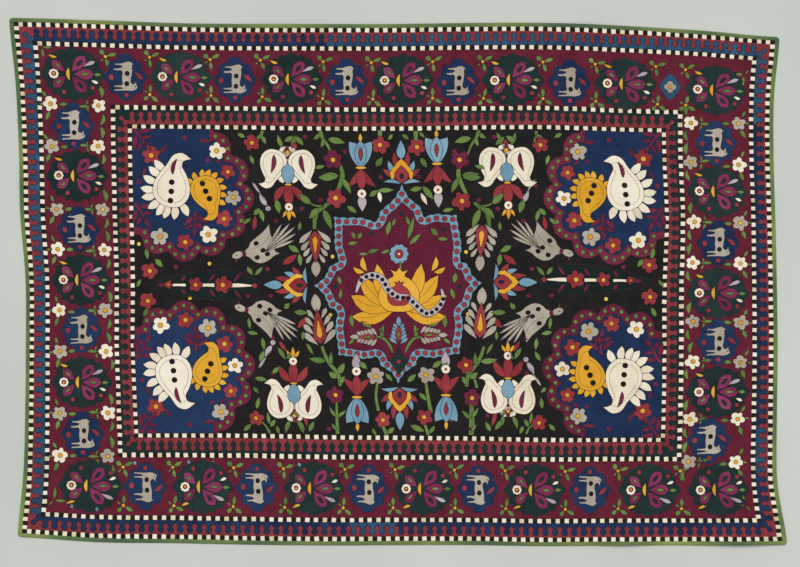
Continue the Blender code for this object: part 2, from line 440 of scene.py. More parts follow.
def ground_sheet(name, columns, rows, material, heights=None):
    """A thin sheet over columns and rows of the plan, as thick as the cloth, its rim turned down."""
    bpy.ops.object.select_all(action="DESELECT")
    bpy.ops.mesh.primitive_grid_add(x_subdivisions=len(columns) - 1, y_subdivisions=len(rows) - 1, size=2.0)
    sheet = bpy.context.object
    sheet.name = name
    points = get_points(sheet)
    column = np.round((points[:, 0] + 1) / 2 * (len(columns) - 1)).astype(int)
    row = np.round((points[:, 1] + 1) / 2 * (len(rows) - 1)).astype(int)
    places = [np.asarray(columns)[column], np.asarray(rows)[row], 0 * points[:, 2]]
    put_points(sheet, np.stack(places, axis=1))
    bpy.ops.object.mode_set(mode="EDIT")
    bpy.ops.mesh.select_all(action="SELECT")
    bpy.ops.mesh.extrude_region_move(TRANSFORM_OT_translate={"value": (0, 0, CLOTH_THICKNESS)})
    if heights is None:
        bpy.ops.mesh.inset(thickness=RIM, depth=0.0)
    bpy.ops.object.mode_set(mode="OBJECT")
    points = get_points(sheet)
    upper = points[:, 2] > CLOTH_THICKNESS / 2
    if heights is None:
        low_u = np.minimum(points[:, 0] - columns[0], columns[-1] - points[:, 0])
        low_v = np.minimum(points[:, 1] - rows[0], rows[-1] - points[:, 1])
        rim = np.minimum(low_u, low_v) < RIM / 2
        points[:, 2] = np.where(upper & rim, CLOTH_THICKNESS - RIM_DROP, points[:, 2])
    else:
        edge = np.minimum(LENGTH / 2 - np.abs(points[:, 0]), WIDTH / 2 - np.abs(points[:, 1]))
        points[:, 2] = np.where(upper, np.interp(edge, *zip(*heights)), 0.0)
    put_points(sheet, on_floor(points))
    give_shade(sheet.data, 0.5)
    sheet.data.materials.append(material)
    return sheet


def declare(sheet, node):
    """Hide the imported part that a ground cloth stands for, and hang the cloth under the root."""
    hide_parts(node)
    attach(sheet, "root")


def ring_sides(number):
    """The four sides of one ring, each with its span along u and along v."""
    outer_x, inner_x = HALF_LENGTHS[number : number + 2]
    outer_y, inner_y = HALF_WIDTHS[number : number + 2]
    gap = SEAM_GAP / 2
    return (
        ("far", (-outer_x + gap, outer_x - gap), (inner_y + gap, outer_y - gap)),
        ("near", (-outer_x + gap, outer_x - gap), (-outer_y + gap, -inner_y - gap)),
        ("left", (-outer_x + gap, -inner_x - gap), (-inner_y + gap, inner_y - gap)),
        ("right", (inner_x + gap, outer_x - gap), (-inner_y + gap, inner_y - gap)),
    )


# %% Field and the flat rings
# Each ring: its name, its cloth and its slot.
FLAT_RINGS = (
    ("check_1", "black", "chequer_wool"),
    ("outer_band", "brick_red", "outer_band_wool"),
    ("check_2", "black", "chequer_wool"),
    ("main_border", "crimson", "crimson_wool"),
    ("check_3", "black", "chequer_wool"),
    ("inner_band", "dark_green", "inner_band_wool"),
    ("check_4", "black", "chequer_wool"),
)
field_u = HALF_LENGTHS[-1] - SEAM_GAP / 2
field_v = HALF_WIDTHS[-1] - SEAM_GAP / 2
field = ground_sheet("field_ground", steps_between(-field_u, field_u), steps_between(-field_v, field_v),
                     wools["black"])
declare(field, "field")
for number, (ring, cloth, slot) in enumerate(FLAT_RINGS, start=1):
    for side, span_u, span_v in ring_sides(number):
        sheet = ground_sheet(f"{side}_{ring}_ground", steps_between(*span_u), steps_between(*span_v),
                             wools[cloth])
        declare(sheet, f"{side}_{ring}")
print("ground cloths:", 1 + 4 * len(FLAT_RINGS))

# %% [markdown]
# ## Binding
#
# A strip of green wool is folded over the raw edge all round and sewn down, so it stands up in a soft roll
# with its highest part near the outer edge. The strip is pieced from several lengths, which have faded
# differently, from a yellow green to a duller blue green.

# %% Binding
# Each row: the distance in from the outer edge, and the height.
FOLD = (
    (0.0, 0.0010), (0.0007, 0.0021), (0.0020, 0.0029), (0.0035, 0.0033),
    (0.0050, 0.0034), (0.0080, 0.0031), (0.0100, 0.0027), (0.0110, 0.0020),
)
END_GAP = 0.0002
FOLD_GAP = 0.003
BINDING_GRAIN_MM = 3.0


def fold_steps(start, end, whole):
    """Places along one way of a binding strip, close together across the fold."""
    even = steps_between(start, end)
    folds = [sign * (whole / 2 - distance) for distance, _ in FOLD[1:-1] for sign in (-1, 1)]
    folds = [place for place in folds if start + END_GAP < place < end - END_GAP]
    free = [place for place in even[1:-1] if all(abs(place - fold) > FOLD_GAP for fold in folds)]
    return np.array(sorted([start, *free, *folds, end]))


def binding_wool(name):
    """Folded binding wool: green broadcloth whose pieced lengths have faded unevenly."""
    material, tree, shader, place = new_material(name, 0.9, sheen=0.05)
    fade = add_node(tree, "ShaderNodeTexNoise", inputs={"Vector": place, "Scale": 5.0, "Detail": 1.0})
    grain = add_node(tree, "ShaderNodeTexNoise", inputs={
        "Vector": place, "Scale": per_metre(BINDING_GRAIN_MM), "Detail": 4.0,
        "Roughness": 0.7}).outputs["Fac"]
    tone = add_node(tree, "ShaderNodeMath", {"operation": "MULTIPLY_ADD"}, {
        0: grain, 1: 0.5, 2: -0.25}).outputs[0]
    tone = add_node(tree, "ShaderNodeMath", {"operation": "ADD"}, {
        0: fade.outputs["Fac"], 1: tone}).outputs[0]
    stops = ((0.3, "#48604a"), (0.46, "#5b7145"), (0.58, "#6f8048"), (0.75, "#889657"))
    dye_and_raise(tree, shader, tone, stops, grain, 0.4, 0.0005)
    return material


green_binding = binding_wool("green_binding_wool")
for side, span_u, span_v in ring_sides(0):
    fold = ground_sheet(f"{side}_binding_fold", fold_steps(*span_u, LENGTH), fold_steps(*span_v, WIDTH),
                        green_binding, FOLD)
    declare(fold, f"{side}_binding")
print("binding strips:", len(ring_sides(0)))

# %% [markdown]
# ## Outlines
#
# A maker chalks each motif round a card template. Here a template is an outline in millimetres: some come
# from a formula, such as a leaf or a scalloped medallion, and freer ones are smooth curves through a few
# points. A point given twice makes a sharp corner. Every outline runs anticlockwise.

# %% Outline helpers


def anticlockwise(outline):
    """The same outline, run anticlockwise."""
    outline = np.asarray(outline, float)
    x, y = outline[:, 0], outline[:, 1]
    area = np.sum(x * np.roll(y, -1) - np.roll(x, -1) * y)
    return outline if area > 0 else outline[::-1]


def smooth_line(points, steps=4, closed=False):
    """A smooth line through points. A point given twice is a corner."""
    points = np.array(points, float)
    count = len(points)
    line = []
    for k in range(count if closed else count - 1):
        places = [k + j for j in (-1, 0, 1, 2)]
        if closed:
            before, here, there, after = (points[place % count] for place in places)
        else:
            before, here, there, after = (points[min(max(place, 0), count - 1)] for place in places)
        if np.allclose(here, there):
            continue
        for t in np.arange(steps) / steps:
            turn = (there - before) * t + (2 * before - 5 * here + 4 * there - after) * t**2
            line.append(0.5 * (2 * here + turn + (3 * here - before - 3 * there + after) * t**3))
    if not closed:
        line.append(points[-1])
    return np.array(line)


def shape(points, steps=3):
    """A smooth closed outline through points."""
    return anticlockwise(smooth_line(points, steps, closed=True))


def leaf(length, width, bend=0.0, widest=0.42, blunt=1.0, count=6):
    """A leaf or petal from the origin to its tip along +x. A low blunt value rounds its tip."""
    t = np.arange(1, count) / count
    half = width / 2 * np.sin(np.pi * t ** (math.log(0.5) / math.log(widest))) ** blunt
    middle = 4 * bend * t * (1 - t)
    lower = np.stack([t * length, middle - half], axis=1)
    upper = np.stack([t * length, middle + half], axis=1)[::-1]
    return np.concatenate([[[0.0, 0.0]], lower, [[length, 0.0]], upper])


def around(count, start=0.0):
    """Even angles all the way round, from a start in degrees."""
    return np.arange(count) / count * 2 * math.pi + math.radians(start)


def ring_of(angle, reach, high=None):
    """Points at angles round the origin and at a reach from it. An oval has a second reach."""
    return np.stack([reach * np.cos(angle), (reach if high is None else high) * np.sin(angle)], axis=1)


def disc(across, high=None, count=12):
    """A round or oval spot."""
    return ring_of(around(count), across / 2, (high or across) / 2)


def scalloped(across, high, lobes, gap, fullness=2.0, round_lobe=0.6, start=0.0, each=6):
    """A medallion with scalloped lobes. Fullness 2 is an oval, less is nearer a diamond."""
    angle = around(lobes * each, start)
    base = np.abs(np.cos(angle) / (across / 2)) ** fullness + np.abs(np.sin(angle) / (high / 2)) ** fullness
    lobe = np.abs(np.cos(lobes * (angle - math.radians(start)) / 2)) ** round_lobe
    return ring_of(angle, base ** (-1 / fullness) * (1 - gap + gap * lobe))


def petals(across, kind=0):
    """A five-petalled flower cut by eye: petals of unequal width and reach, of one of three kinds."""
    angle = around(45)
    bent = angle + 0.10 * np.sin(2 * angle + 2.1 * kind) + 0.06 * np.sin(3 * angle + kind)
    lobe = np.abs(np.cos(2.5 * bent)) ** 0.5
    reach = across / 2 * (1 + 0.06 * np.sin(angle + 2.3 * kind) + 0.04 * np.sin(4 * angle + 1.7 * kind))
    return ring_of(angle, reach * (0.50 + 0.50 * lobe))


def strip(points, widths, steps=4):
    """A strip of cloth such as a stem, along a smooth line, with its width at each point."""
    line = smooth_line(points, steps)
    share = np.linspace(0, len(widths) - 1, len(line))
    half = np.interp(share, range(len(widths)), widths)[:, None] / 2
    along = np.gradient(line, axis=0)
    side = np.stack([-along[:, 1], along[:, 0]], axis=1) / np.linalg.norm(along, axis=1)[:, None]
    return anticlockwise(np.concatenate([line - side * half, (line + side * half)[::-1]]))


def put(outline, x=0.0, y=0.0, turn=0.0, size=1.0, flip=1.0):
    """An outline turned by degrees, sized and moved. A flip of -1 mirrors it across x first."""
    outline = np.asarray(outline, float) * (size, size * flip)
    c, s = math.cos(math.radians(turn)), math.sin(math.radians(turn))
    moved = outline @ np.array([[c, s], [-s, c]]) + (x, y)
    return anticlockwise(moved)


print("leaf points:", len(leaf(30, 10)), "medallion points:", len(scalloped(120, 131, 8, 0.1)))

# %% [markdown]
# ## Cutting and sewing a patch
#
# A patch is a filled outline, lifted by the thickness that it stands proud and with its rim turned down, so
# that light catches its edge. It is modelled once for each template, and every repeat is a copy with its
# own mesh and its own shade of dye. A big patch is cut across every few centimetres, so that it can follow
# the swell of the cloth below.

# %% Patch helpers
LAYER = 0.00032
SINK = 0.0002
TURNED_RIM = 0.0007
PATCH_DROP = 0.0001
CROSS_STEP = 0.045
UNCUT_SPAN = 1.4 * CROSS_STEP
chance = random.Random(7)
cut_meshes = {}
chain_lines = {}


def cut_across(size_x, size_y):
    """Cut the selected patch across at even places, one cut at a time."""
    for axis, (low, high) in enumerate((size_x, size_y)):
        for place in steps_between(low, high, CROSS_STEP)[1:-1]:
            bpy.ops.mesh.select_all(action="SELECT")
            at = (place, 0.0, 0.0) if axis == 0 else (0.0, place, 0.0)
            bpy.ops.mesh.bisect(plane_co=at, plane_no=(1.0, 0.0, 0.0) if axis == 0 else (0.0, 1.0, 0.0))


def cut_patch(outline, layer):
    """Model one patch from an outline in millimetres, on a layer counted up from the ground cloth."""
    bpy.ops.object.select_all(action="DESELECT")
    bpy.ops.mesh.primitive_circle_add(vertices=len(outline), radius=1.0, fill_type="NGON")
    patch = bpy.context.object
    low = CLOTH_THICKNESS + (layer - 1) * LAYER - SINK
    put_points(patch, np.column_stack([outline * MM, np.full(len(outline), low)]))
    bpy.ops.object.mode_set(mode="EDIT")
    bpy.ops.mesh.select_all(action="SELECT")
    bpy.ops.mesh.extrude_region_move(TRANSFORM_OT_translate={"value": (0, 0, LAYER + SINK - PATCH_DROP)})
    bpy.ops.mesh.inset(thickness=TURNED_RIM, depth=PATCH_DROP, use_even_offset=False)
    spans = [(outline[:, k].min() * MM, outline[:, k].max() * MM) for k in (0, 1)]
    if max(high - low for low, high in spans) > UNCUT_SPAN:
        cut_across(*spans)
    bpy.ops.object.mode_set(mode="OBJECT")
    return patch


def sew(group, cloth, outline, layer=1, places=((0.0, 0.0),), thread="dark", wobble=0.0):
    """Cut one patch and put a copy at each place: x, y, turn, size along and size across."""
    outline = anticlockwise(outline)
    patch = cut_patch(outline, layer)
    for place in places:
        x, y, turn, size_x, size_y = (*place, *(0.0, 1.0, 1.0)[len(place) - 2 :])
        turn += chance.uniform(-1, 1) * wobble
        matrix = Matrix.Translation((x * MM, y * MM, 0)) @ Matrix.Rotation(math.radians(turn), 4, "Z")
        matrix = matrix @ Matrix.Diagonal((size_x, size_y, 1, 1))
        mesh = patch.data.copy()
        mesh.transform(matrix)
        if size_x * size_y < 0:
            mesh.flip_normals()
        give_shade(mesh, min(max(chance.gauss(0.5, 0.2), 0.0), 1.0))
        cut_meshes.setdefault((group, cloth), []).append(mesh)
        if thread:
            flat = np.column_stack([outline, np.zeros(len(outline)), np.full(len(outline), 1 / MM)])
            moved = (flat * MM) @ np.array(matrix).T
            chain_lines.setdefault((group, thread), []).append((moved[:, :2], True, layer))
    bpy.data.objects.remove(patch, do_unlink=True)


def sew_motif(group, motif, places, wobble=0.0):
    """Sew a motif's patches at each place: cloth, outline, layer, and the thread where it isn't dark."""
    for cloth, outline, layer, *thread in motif:
        sew(group, cloth, outline, layer, places, *(thread or ["dark"]), wobble=wobble)


def leaves(rows, cloth="leaf_green", layer=1, thread="dark"):
    """Leaves of one cloth for a motif. Each row is a leaf's x, y and turn, and then what leaf() takes."""
    return [(cloth, put(leaf(*sizes), x, y, turn), layer, thread) for x, y, turn, *sizes in rows]


def stitch_line(group, points, thread="dark", layer=0, closed=False):
    """Note a line of chain stitch along points of the plan, in millimetres."""
    points = np.asarray(points, float) * MM
    chain_lines.setdefault((group, thread), []).append((points, closed, layer))


# %% [markdown]
# ## Chequer rows
#
# Between the bands run rows of small cream squares let into black. They are cut by eye from scraps, so no
# two are quite the same size or quite straight, and a few scraps are yellower than the rest. The corner
# square of a row is always dark.

# %% Chequer squares
SQUARES = (
    ((-5.9, -5.8), (5.7, -6.0), (6.0, 5.8), (-5.7, 6.0)),
    ((-5.5, -6.1), (6.0, -5.7), (5.6, 6.0), (-6.0, 5.6)),
    ((-6.1, -5.6), (5.5, -6.1), (5.9, 5.5), (-5.6, 6.1)),
)


# Each row of squares: its ring, then how many squares its far, near, left and right sides have.
CHECK_COUNTS = ((1, 83, 84, 62, 61), (3, 79, 80, 55, 57), (5, 62, 64, 43, 42), (7, 58, 60, 36, 37))
CHECK_PITCH = 24
TAN_EVERY = 11
SIDE_TURNS = {"far": 0.0, "near": 180.0, "left": 90.0, "right": -90.0}
LONG_SIDES = ("far", "near")
ROW_POINTS = 801


def even_row(side, half_u, half_v, count):
    """A count of places spread evenly along the laid cloth, as x, y, the turn outwards and the pitch."""
    lengthwise = side in LONG_SIDES
    along = np.linspace(-1.0, 1.0, ROW_POINTS) * (half_u if lengthwise else half_v)
    across = np.full(ROW_POINTS, (half_v if lengthwise else half_u) * (1 if side in ("far", "right") else -1))
    u, v = (along, across) if lengthwise else (across, along)
    laid_x, laid_y = laid(u * MM, v * MM)
    run = np.concatenate([[0.0], np.cumsum(np.hypot(np.diff(laid_x), np.diff(laid_y)))])
    bounds = np.interp(np.linspace(0.0, run[-1], count + 1), run, along)
    for start, end in zip(bounds, bounds[1:]):
        place = ((start + end) / 2, across[0]) if lengthwise else (across[0], (start + end) / 2)
        yield (*place, SIDE_TURNS[side], end - start)


def group_of(number):
    """The name of the part of the cover that a ring belongs to."""
    return "outer_guard" if number < 4 else "inner_guard"


squares_sewn = 0
for number, *counts in CHECK_COUNTS:
    half_u = (HALF_LENGTHS[number] + HALF_LENGTHS[number + 1]) / 2 / MM
    half_v = (HALF_WIDTHS[number] + HALF_WIDTHS[number + 1]) / 2 / MM
    places = []
    for side, count in zip(SIDE_TURNS, counts):
        for x, y, turn, pitch in even_row(side, half_u, half_v, count):
            places.append((x + chance.uniform(-0.6, 0.6), y + chance.uniform(-0.4, 0.4),
                           turn + chance.uniform(-5, 5), pitch / CHECK_PITCH * chance.uniform(0.93, 1.05),
                           chance.uniform(0.94, 1.06)))
    squares_sewn += len(places)
    for kind, square in enumerate(SQUARES):
        cream = [place for k, place in enumerate(places) if k % 3 == kind and k % TAN_EVERY]
        sew(group_of(number), "cream", square, 1, cream, None)
    sew(group_of(number), "tan", SQUARES[0], 1, places[::TAN_EVERY], None)
print("chequer squares:", squares_sewn)

# %% [markdown]
# ## Toothed guard bands
#
# In a reciprocal band the tooth of one cloth and the gap of the other have the same form, so nothing of
# either is wasted. Each tooth has a straight foot on the inner side, a narrow neck and a round head that
# points outwards. The outer band has blue teeth on red, and the inner band red teeth on dark green.

# %% Teeth
# Each side: its name, then its teeth in the outer band and in the inner one.
TOOTH_COUNTS = (("far", 79, 60), ("near", 75, 59), ("left", 47, 31), ("right", 48, 33))
TOOTH_PITCH = 26
# Each row: half the tooth's width, and the distance out from its foot.
TOOTH_SIDE = (
    (12.9, 0.0), (12.9, 6.0), (10.8, 9.0), (7.0, 12.0), (4.7, 15.5),
    (4.5, 19.0), (7.2, 22.0), (8.2, 26.0), (6.2, 30.0), (2.6, 32.8),
)
TOOTH_REACH = 38.0
CORNER_TOOTH = (20, 36)
# Each stretch of blue cloth: its side, where it starts and ends, and its cloth.
BLUE_STRETCHES = (
    ("far", -1000, -205, "navy"),
    ("far", -205, 1000, "mid_blue"),
    ("left", -1000, 1000, "mid_blue"),
    ("right", 452, 1000, "mid_blue"),
    ("right", -399, 452, "navy"),
    ("right", -523, -399, "mid_blue"),
    ("right", -1000, -523, "navy"),
    ("near", -1000, -137, "navy"),
    ("near", -137, -13, "mid_blue"),
    ("near", -13, 1000, "navy"),
)


def tooth(width, reach):
    """A tooth's outline, from its foot on y = 0 outwards, for a pitch and a band's width."""
    side = np.array(TOOTH_SIDE) * (width / 2 / TOOTH_SIDE[0][0], reach / TOOTH_REACH)
    return np.concatenate([side, side[::-1] * (-1, 1)])


teeth_sewn = 0
for number, is_outer in ((2, True), (6, False)):
    group = group_of(number)
    half_u, half_v = HALF_LENGTHS[number + 1] / MM, HALF_WIDTHS[number + 1] / MM
    for side, *counts in TOOTH_COUNTS:
        reach = RINGS[number][1 if side in LONG_SIDES else 2] / MM
        row = list(even_row(side, half_u, half_v, counts[0 if is_outer else 1]))
        stretches = [stretch[1:] for stretch in BLUE_STRETCHES if stretch[0] == side]
        for low, high, cloth in stretches if is_outer else [(-2000, 2000, "brick_red")]:
            chosen = [(x, y, turn, pitch / TOOTH_PITCH, 1.0) for x, y, turn, pitch in row
                      if low <= (x if side in LONG_SIDES else y) < high]
            sew(group, cloth, tooth(TOOTH_PITCH, reach), 1, chosen, "heavy")
            teeth_sewn += len(chosen)
    for corners, blue in ((((1, 1, -45), (-1, 1, 45)), "mid_blue"), (((-1, -1, 135), (1, -1, -135)), "navy")):
        corner = [(sx * half_u, sy * half_v, turn) for sx, sy, turn in corners]
        sew(group, blue if is_outer else "brick_red", tooth(*CORNER_TOOTH), 2, corner, "heavy")
print("teeth:", teeth_sewn)

# %% [markdown]
# ## Main border: medallions and cartouches
#
# The crimson border carries two shapes by turns: a navy medallion with eight lobes, in which a spotted goat
# stands, and a wider dark-green cartouche, pointed at both ends. Both rows and both columns are turned the
# same way, so the goats of the long sides stand on end. In the near row they are mirrored.

# %% Border shapes


def four_ways(quarter):
    """A shape from a quarter of its outline, from the right to the top, mirrored both ways."""
    quarter = np.array(quarter, float)
    upper = np.vstack([quarter, (quarter * (-1, 1))[-2::-1]])
    return shape(np.vstack([upper, (upper * (1, -1))[-2:0:-1]]), 3)


CARTOUCHE = four_ways((
    (86, 0), (86, 0), (79, 11), (69, 22), (69, 22), (71, 34), (58, 42), (58, 42), (55, 55), (39, 56),
    (39, 56), (31, 67), (17, 63), (17, 63), (10, 70), (0, 73),
))
MEDALLION = four_ways((
    (57, 0), (57, 5), (51, 13), (44, 19), (44, 19), (45, 32), (38, 42), (29, 46), (20, 46), (20, 46),
    (18, 56), (10, 62), (0, 63),
))

GOAT = (
    (-45, 2), (-46, 12), (-43, 17), (-38, 23), (-38, 23), (-35, 18), (-20, 19), (-2, 16), (12, 14), (17, 20),
    (18, 24), (9, 30), (9, 30), (20, 31), (26, 35), (31, 32), (35, 24), (37, 14), (36, 0), (37, -34),
    (37, -34), (33, -34), (33, -34), (31, -14), (29, -8), (27, -14), (26, -34), (26, -34), (22, -34),
    (22, -34), (21, -14), (17, -9), (0, -11), (-15, -9), (-21, -14), (-20, -24), (-22, -35), (-22, -35),
    (-26, -34), (-26, -34), (-26, -24), (-28, -14), (-32, -9), (-35, -18), (-36, -31), (-36, -31),
    (-40, -30), (-40, -30), (-40, -14),
)
GOAT_LONG = 0.97
GOAT_HIGH = 0.92
GOAT_EYE = (24, 28)
GOAT_SPOTS = ((-12, 4), (16, 3))

goat_medallion = [
    ("navy", MEDALLION, 1, "seam"),
    ("grey", put(shape(GOAT, 2) * (GOAT_LONG, GOAT_HIGH), 0, -2, -90), 2),
    ("red", put(disc(14, 16), -38, -2), 2),
    ("red", put(disc(13, 13), 1, -49), 2),
    ("red", put(leaf(31, 11, 1, 0.5), 24, 14, -42), 2),
    ("black", put(disc(3.5, 4, 6), GOAT_HIGH * GOAT_EYE[1], -2 - GOAT_LONG * GOAT_EYE[0]), 3, None),
]
goat_medallion += [("black", put(disc(13, 14), GOAT_HIGH * y, -2 - x), 3, None) for x, y in GOAT_SPOTS]

FAR_MEDALLIONS = (-742, -443, -137, 168, 474)
NEAR_MEDALLIONS = (-711, -400, -89, 219, 532)
LEFT_MEDALLIONS = ((-885, 429), (-877, 143), (-877, -137), (-877, -426))
RIGHT_MEDALLIONS = ((875, 397), (875, 119), (875, -157), (855, -430))
ROW_V = 564.5
ROW_RAISE = 4
ROW_DROP = 16
ROW_START = -881
ROW_RUN = 1751


def far_v(u):
    """The far row's middle line: it drops a little towards its right end."""
    return ROW_V + ROW_RAISE - ROW_DROP * (u - ROW_START) / ROW_RUN


upright = [(u, far_v(u) - ROW_RAISE) for u in FAR_MEDALLIONS] + list(LEFT_MEDALLIONS + RIGHT_MEDALLIONS)
mirrored = [(u, -ROW_V, 0.0, 1.0, -1.0) for u in NEAR_MEDALLIONS]
sew_motif("border", goat_medallion, upright + mirrored, wobble=1.5)
print("goat medallions:", len(upright + mirrored))

# %% [markdown]
# The cartouches hold a blossom lying on its side: magenta petals with a green eye open out of a gold
# crescent, with a cream rosette, a lilac bud and small leaves about it.

# %% Cartouche blossoms
PETAL = leaf(46, 25, 0, 0.62, 0.7, 8)
PETAL_EYE = leaf(20, 8, 0, 0.5)

blossom = [("dark_green", CARTOUCHE, 1, "seam")]
for turn, x, y, size, eye in ((0, 2, 0, 1.15, "leaf_green"), (50, -2, 6, 1.2, "dark_green"),
                              (-50, -2, -6, 1.2, "dark_green"), (138, -20, 6, 0.95, "leaf_green"),
                              (-138, -20, -6, 0.95, "leaf_green")):
    blossom.append(("magenta", put(PETAL, x, y, turn, size), 2, "seam"))
    blossom.append((eye, put(put(PETAL_EYE, 16), x, y, turn, size), 3, "seam"))
blossom += [
    ("gold", put(leaf(36, 10, 4, 0.5, 0.8), -9, -18, 90), 4),
    ("cream", put(scalloped(27, 27, 8, 0.12), -50, 0), 4),
    ("red", put(disc(12), -50, 0), 5),
    ("yellow", put(disc(5, 5, 8), -50, 0), 6, None),
    ("lilac", put(leaf(38, 11, 1, 0.68, 0.7), 26, 19, 24), 4),
    ("leaf_green", put(leaf(20, 10, 0, 0.5), 55, 0, 0), 3),
    ("gold", put(leaf(24, 8, 2), -38, 44, 160), 3),
    ("cream", put(leaf(20, 9, 0, 0.6, 0.7), 48, -16, -22), 4),
    ("red", put(disc(12), -26, -48), 3),
    ("red", put(disc(12), 52, -36), 3),
]
FAR_CARTOUCHES = (-881, -592, -287, 17, 319, 628)
NEAR_CARTOUCHES = (-856, -551, -240, 68, 378, 697)
LEFT_CARTOUCHES = ((-877, 291), (-877, 2), (-877, -282))
RIGHT_CARTOUCHES = ((875, 262), (875, -21), (875, -296))
upright = [(u, far_v(u)) for u in FAR_CARTOUCHES] + list(LEFT_CARTOUCHES + RIGHT_CARTOUCHES) + [(875, 548)]
mirrored = [(u, -ROW_V, 0.0, 1.0, -1.0) for u in NEAR_CARTOUCHES] + [(880, -ROW_V, 0.0, 0.94, -1.0)]
sew_motif("border", blossom, upright + mirrored, wobble=1.0)
print("cartouches:", len(upright + mirrored))

# %% [markdown]
# ## Sprigs and flowers of the border
#
# Small four-leaved sprigs with a gold knot fill the notches of the long rows. In the side columns each
# medallion has four five-petalled flowers round it, some cream and some grey, with a gold heart.

# %% Sprigs
SPRIG = leaves((
    (3, 2, 22, 27, 11, 0, 0.55, 0.8), (-3, 3, 132, 19, 14, 0, 0.6, 0.7), (1, -4, -75, 24, 11, 0, 0.55, 0.8),
    (-4, -3, -140, 14, 5, 0, 0.6),
))
LOW_SPRIG = leaves((
    (1, 3, 84, 26, 11, 0, 0.5), (-4, 2, 142, 15, 6, 0, 0.6), (-3, -3, -130, 19, 12, 0, 0.6, 0.8),
    (3, -3, -32, 26, 12, 0, 0.55),
))
KNOT = [("gold", disc(9, 9, 10), 2)]
NOTCH = 84.0
SPRIG_RISE = 51.0
HIGH_SPAN = (-900, 860)
LOW_SPAN = (-760, 800)
NEAR_START = -880

high, low = [], []
for u in FAR_CARTOUCHES + (875,):
    for side in (-NOTCH, NOTCH):
        if HIGH_SPAN[0] < u + side < HIGH_SPAN[1]:
            high.append((u + side + chance.uniform(-3, 3), far_v(u) + SPRIG_RISE + chance.uniform(-3, 3)))
            if LOW_SPAN[0] < u + side < LOW_SPAN[1]:
                low.append((u + side + chance.uniform(-3, 3), far_v(u) - SPRIG_RISE + chance.uniform(-2, 2)))
for u in NEAR_CARTOUCHES:
    for side in (-NOTCH, NOTCH):
        if NEAR_START < u + side:
            low.append((u + side + chance.uniform(-3, 3), -ROW_V - SPRIG_RISE))
            high.append((u + side + chance.uniform(-3, 3), -ROW_V + SPRIG_RISE))
sew_motif("border", SPRIG + KNOT, high, wobble=9)
sew_motif("border", LOW_SPRIG + KNOT, low, wobble=9)
print("sprigs:", len(high) + len(low))

# %% Side flowers
OUTER_LEAVES = leaves((
    (22, -3, 0, 24, 11, 0, 0.5), (-4, -19, -112, 28, 12, 0, 0.45), (-8, 19, 118, 22, 9, 0, 0.5),
    (-18, 0, 180, 14, 7, 0, 0.4),
))
INNER_LEAVES = leaves((
    (10, 20, 100, 36, 13, -5, 0.5), (12, -20, -100, 34, 11, 6, 0.5), (-18, 0, 178, 36, 9, 0, 0.6),
    (-32, 2, 70, 16, 6, 0, 0.5), (-30, -2, -75, 18, 7, 0, 0.5),
))
FLOWER_RISE = 57
FLOWER_OUT = 60
FLOWER_IN = 68
RIGHT_MIDDLE = 869
FLOWER_CLOTHS = {"left": ("wggwwggw", "wwgwgwwg"), "right": ("gwgwggww", "wgwwgwwg")}
outer, inner, by_cloth = [], [], {"w": [], "g": []}
for column, outward, cloths in ((LEFT_MEDALLIONS, -1, FLOWER_CLOTHS["left"]),
                                (RIGHT_MEDALLIONS, 1, FLOWER_CLOTHS["right"])):
    for number, (u, v) in enumerate(column):
        for rise in (FLOWER_RISE, -FLOWER_RISE):
            middle = max(u, RIGHT_MIDDLE) if outward > 0 else u
            out = (middle + outward * FLOWER_OUT + chance.uniform(-2, 2), v + rise + chance.uniform(-3, 3))
            into = (middle - outward * FLOWER_IN + chance.uniform(-2, 2), v + rise + chance.uniform(-3, 3))
            for place, row in ((out, cloths[0]), (into, cloths[1])):
                flower = row[(2 * number + (rise < 0)) % len(row)]
                by_cloth[flower].append((*place, chance.uniform(0, 72), *[chance.uniform(0.96, 1.08)] * 2))
            outer.append((*out, 0.0, -outward, 1.0))
            inner.append((*into, 0.0, -outward, 1.0))
for cloth, places in (("cream", by_cloth["w"]), ("grey", by_cloth["g"])):
    for kind in range(3):
        flower = [(cloth, petals(41, kind), 2), ("gold", disc(11.5), 3)]
        sew_motif("border", flower, places[kind::3])
sew_motif("border", OUTER_LEAVES, outer, wobble=8)
sew_motif("border", INNER_LEAVES, inner, wobble=6)
print("side flowers:", sum(len(places) for places in by_cloth.values()))

# %% [markdown]
# Where the far row runs short of a whole repeat, the maker let in one small blue lozenge with a grey
# flower. Three-leaved sprigs fill the corners of the border, and a few light-blue spots its near row.

# %% Border corners and fillings
lozenge = [
    ("mid_blue", scalloped(58, 76, 4, 0.02, 1.25, 1.0, 0.0, 8), 1, "seam"),
    ("grey", scalloped(34, 34, 4, 0.34, 2.0, 0.6, 0.0, 8), 2),
    ("gold", disc(10), 3),
]
sew_motif("border", lozenge, [spot(670, 87)])
CORNER_SPRIG = leaves(((3, 0, 0, 30, 9, 1), (0, -4, -88, 32, 9, 1), (-2, 2, 128, 18, 5, 0)))
CORNER_SPOTS = ((42, 47.5, 0, 0.8, 0.8), (54, 500, 0, 1, -1), (744, 75, 0, -1, 1), (745, 505, 0, -1, -1))
sew_motif("border", CORNER_SPRIG, spots(CORNER_SPOTS))
BLUE_SPOTS = ((135, 463), (189, 462), (213, 462.5), (299.5, 464.5), (323.6, 465), (72, 506), (97, 509))
sew("border", "light_blue", disc(9.5, 10.5, 10), 1, spots(BLUE_SPOTS))

# %% [markdown]
# ## Field: corner medallions
#
# The black field is drawn in four quarters, each a mirror image of the next. In every corner lies a large
# blue medallion, cut off by the chequer row, with flowers in its lobes and a crimson band set with green
# spots. In its middle lie two paisleys, one cream and one gold, head to tail.

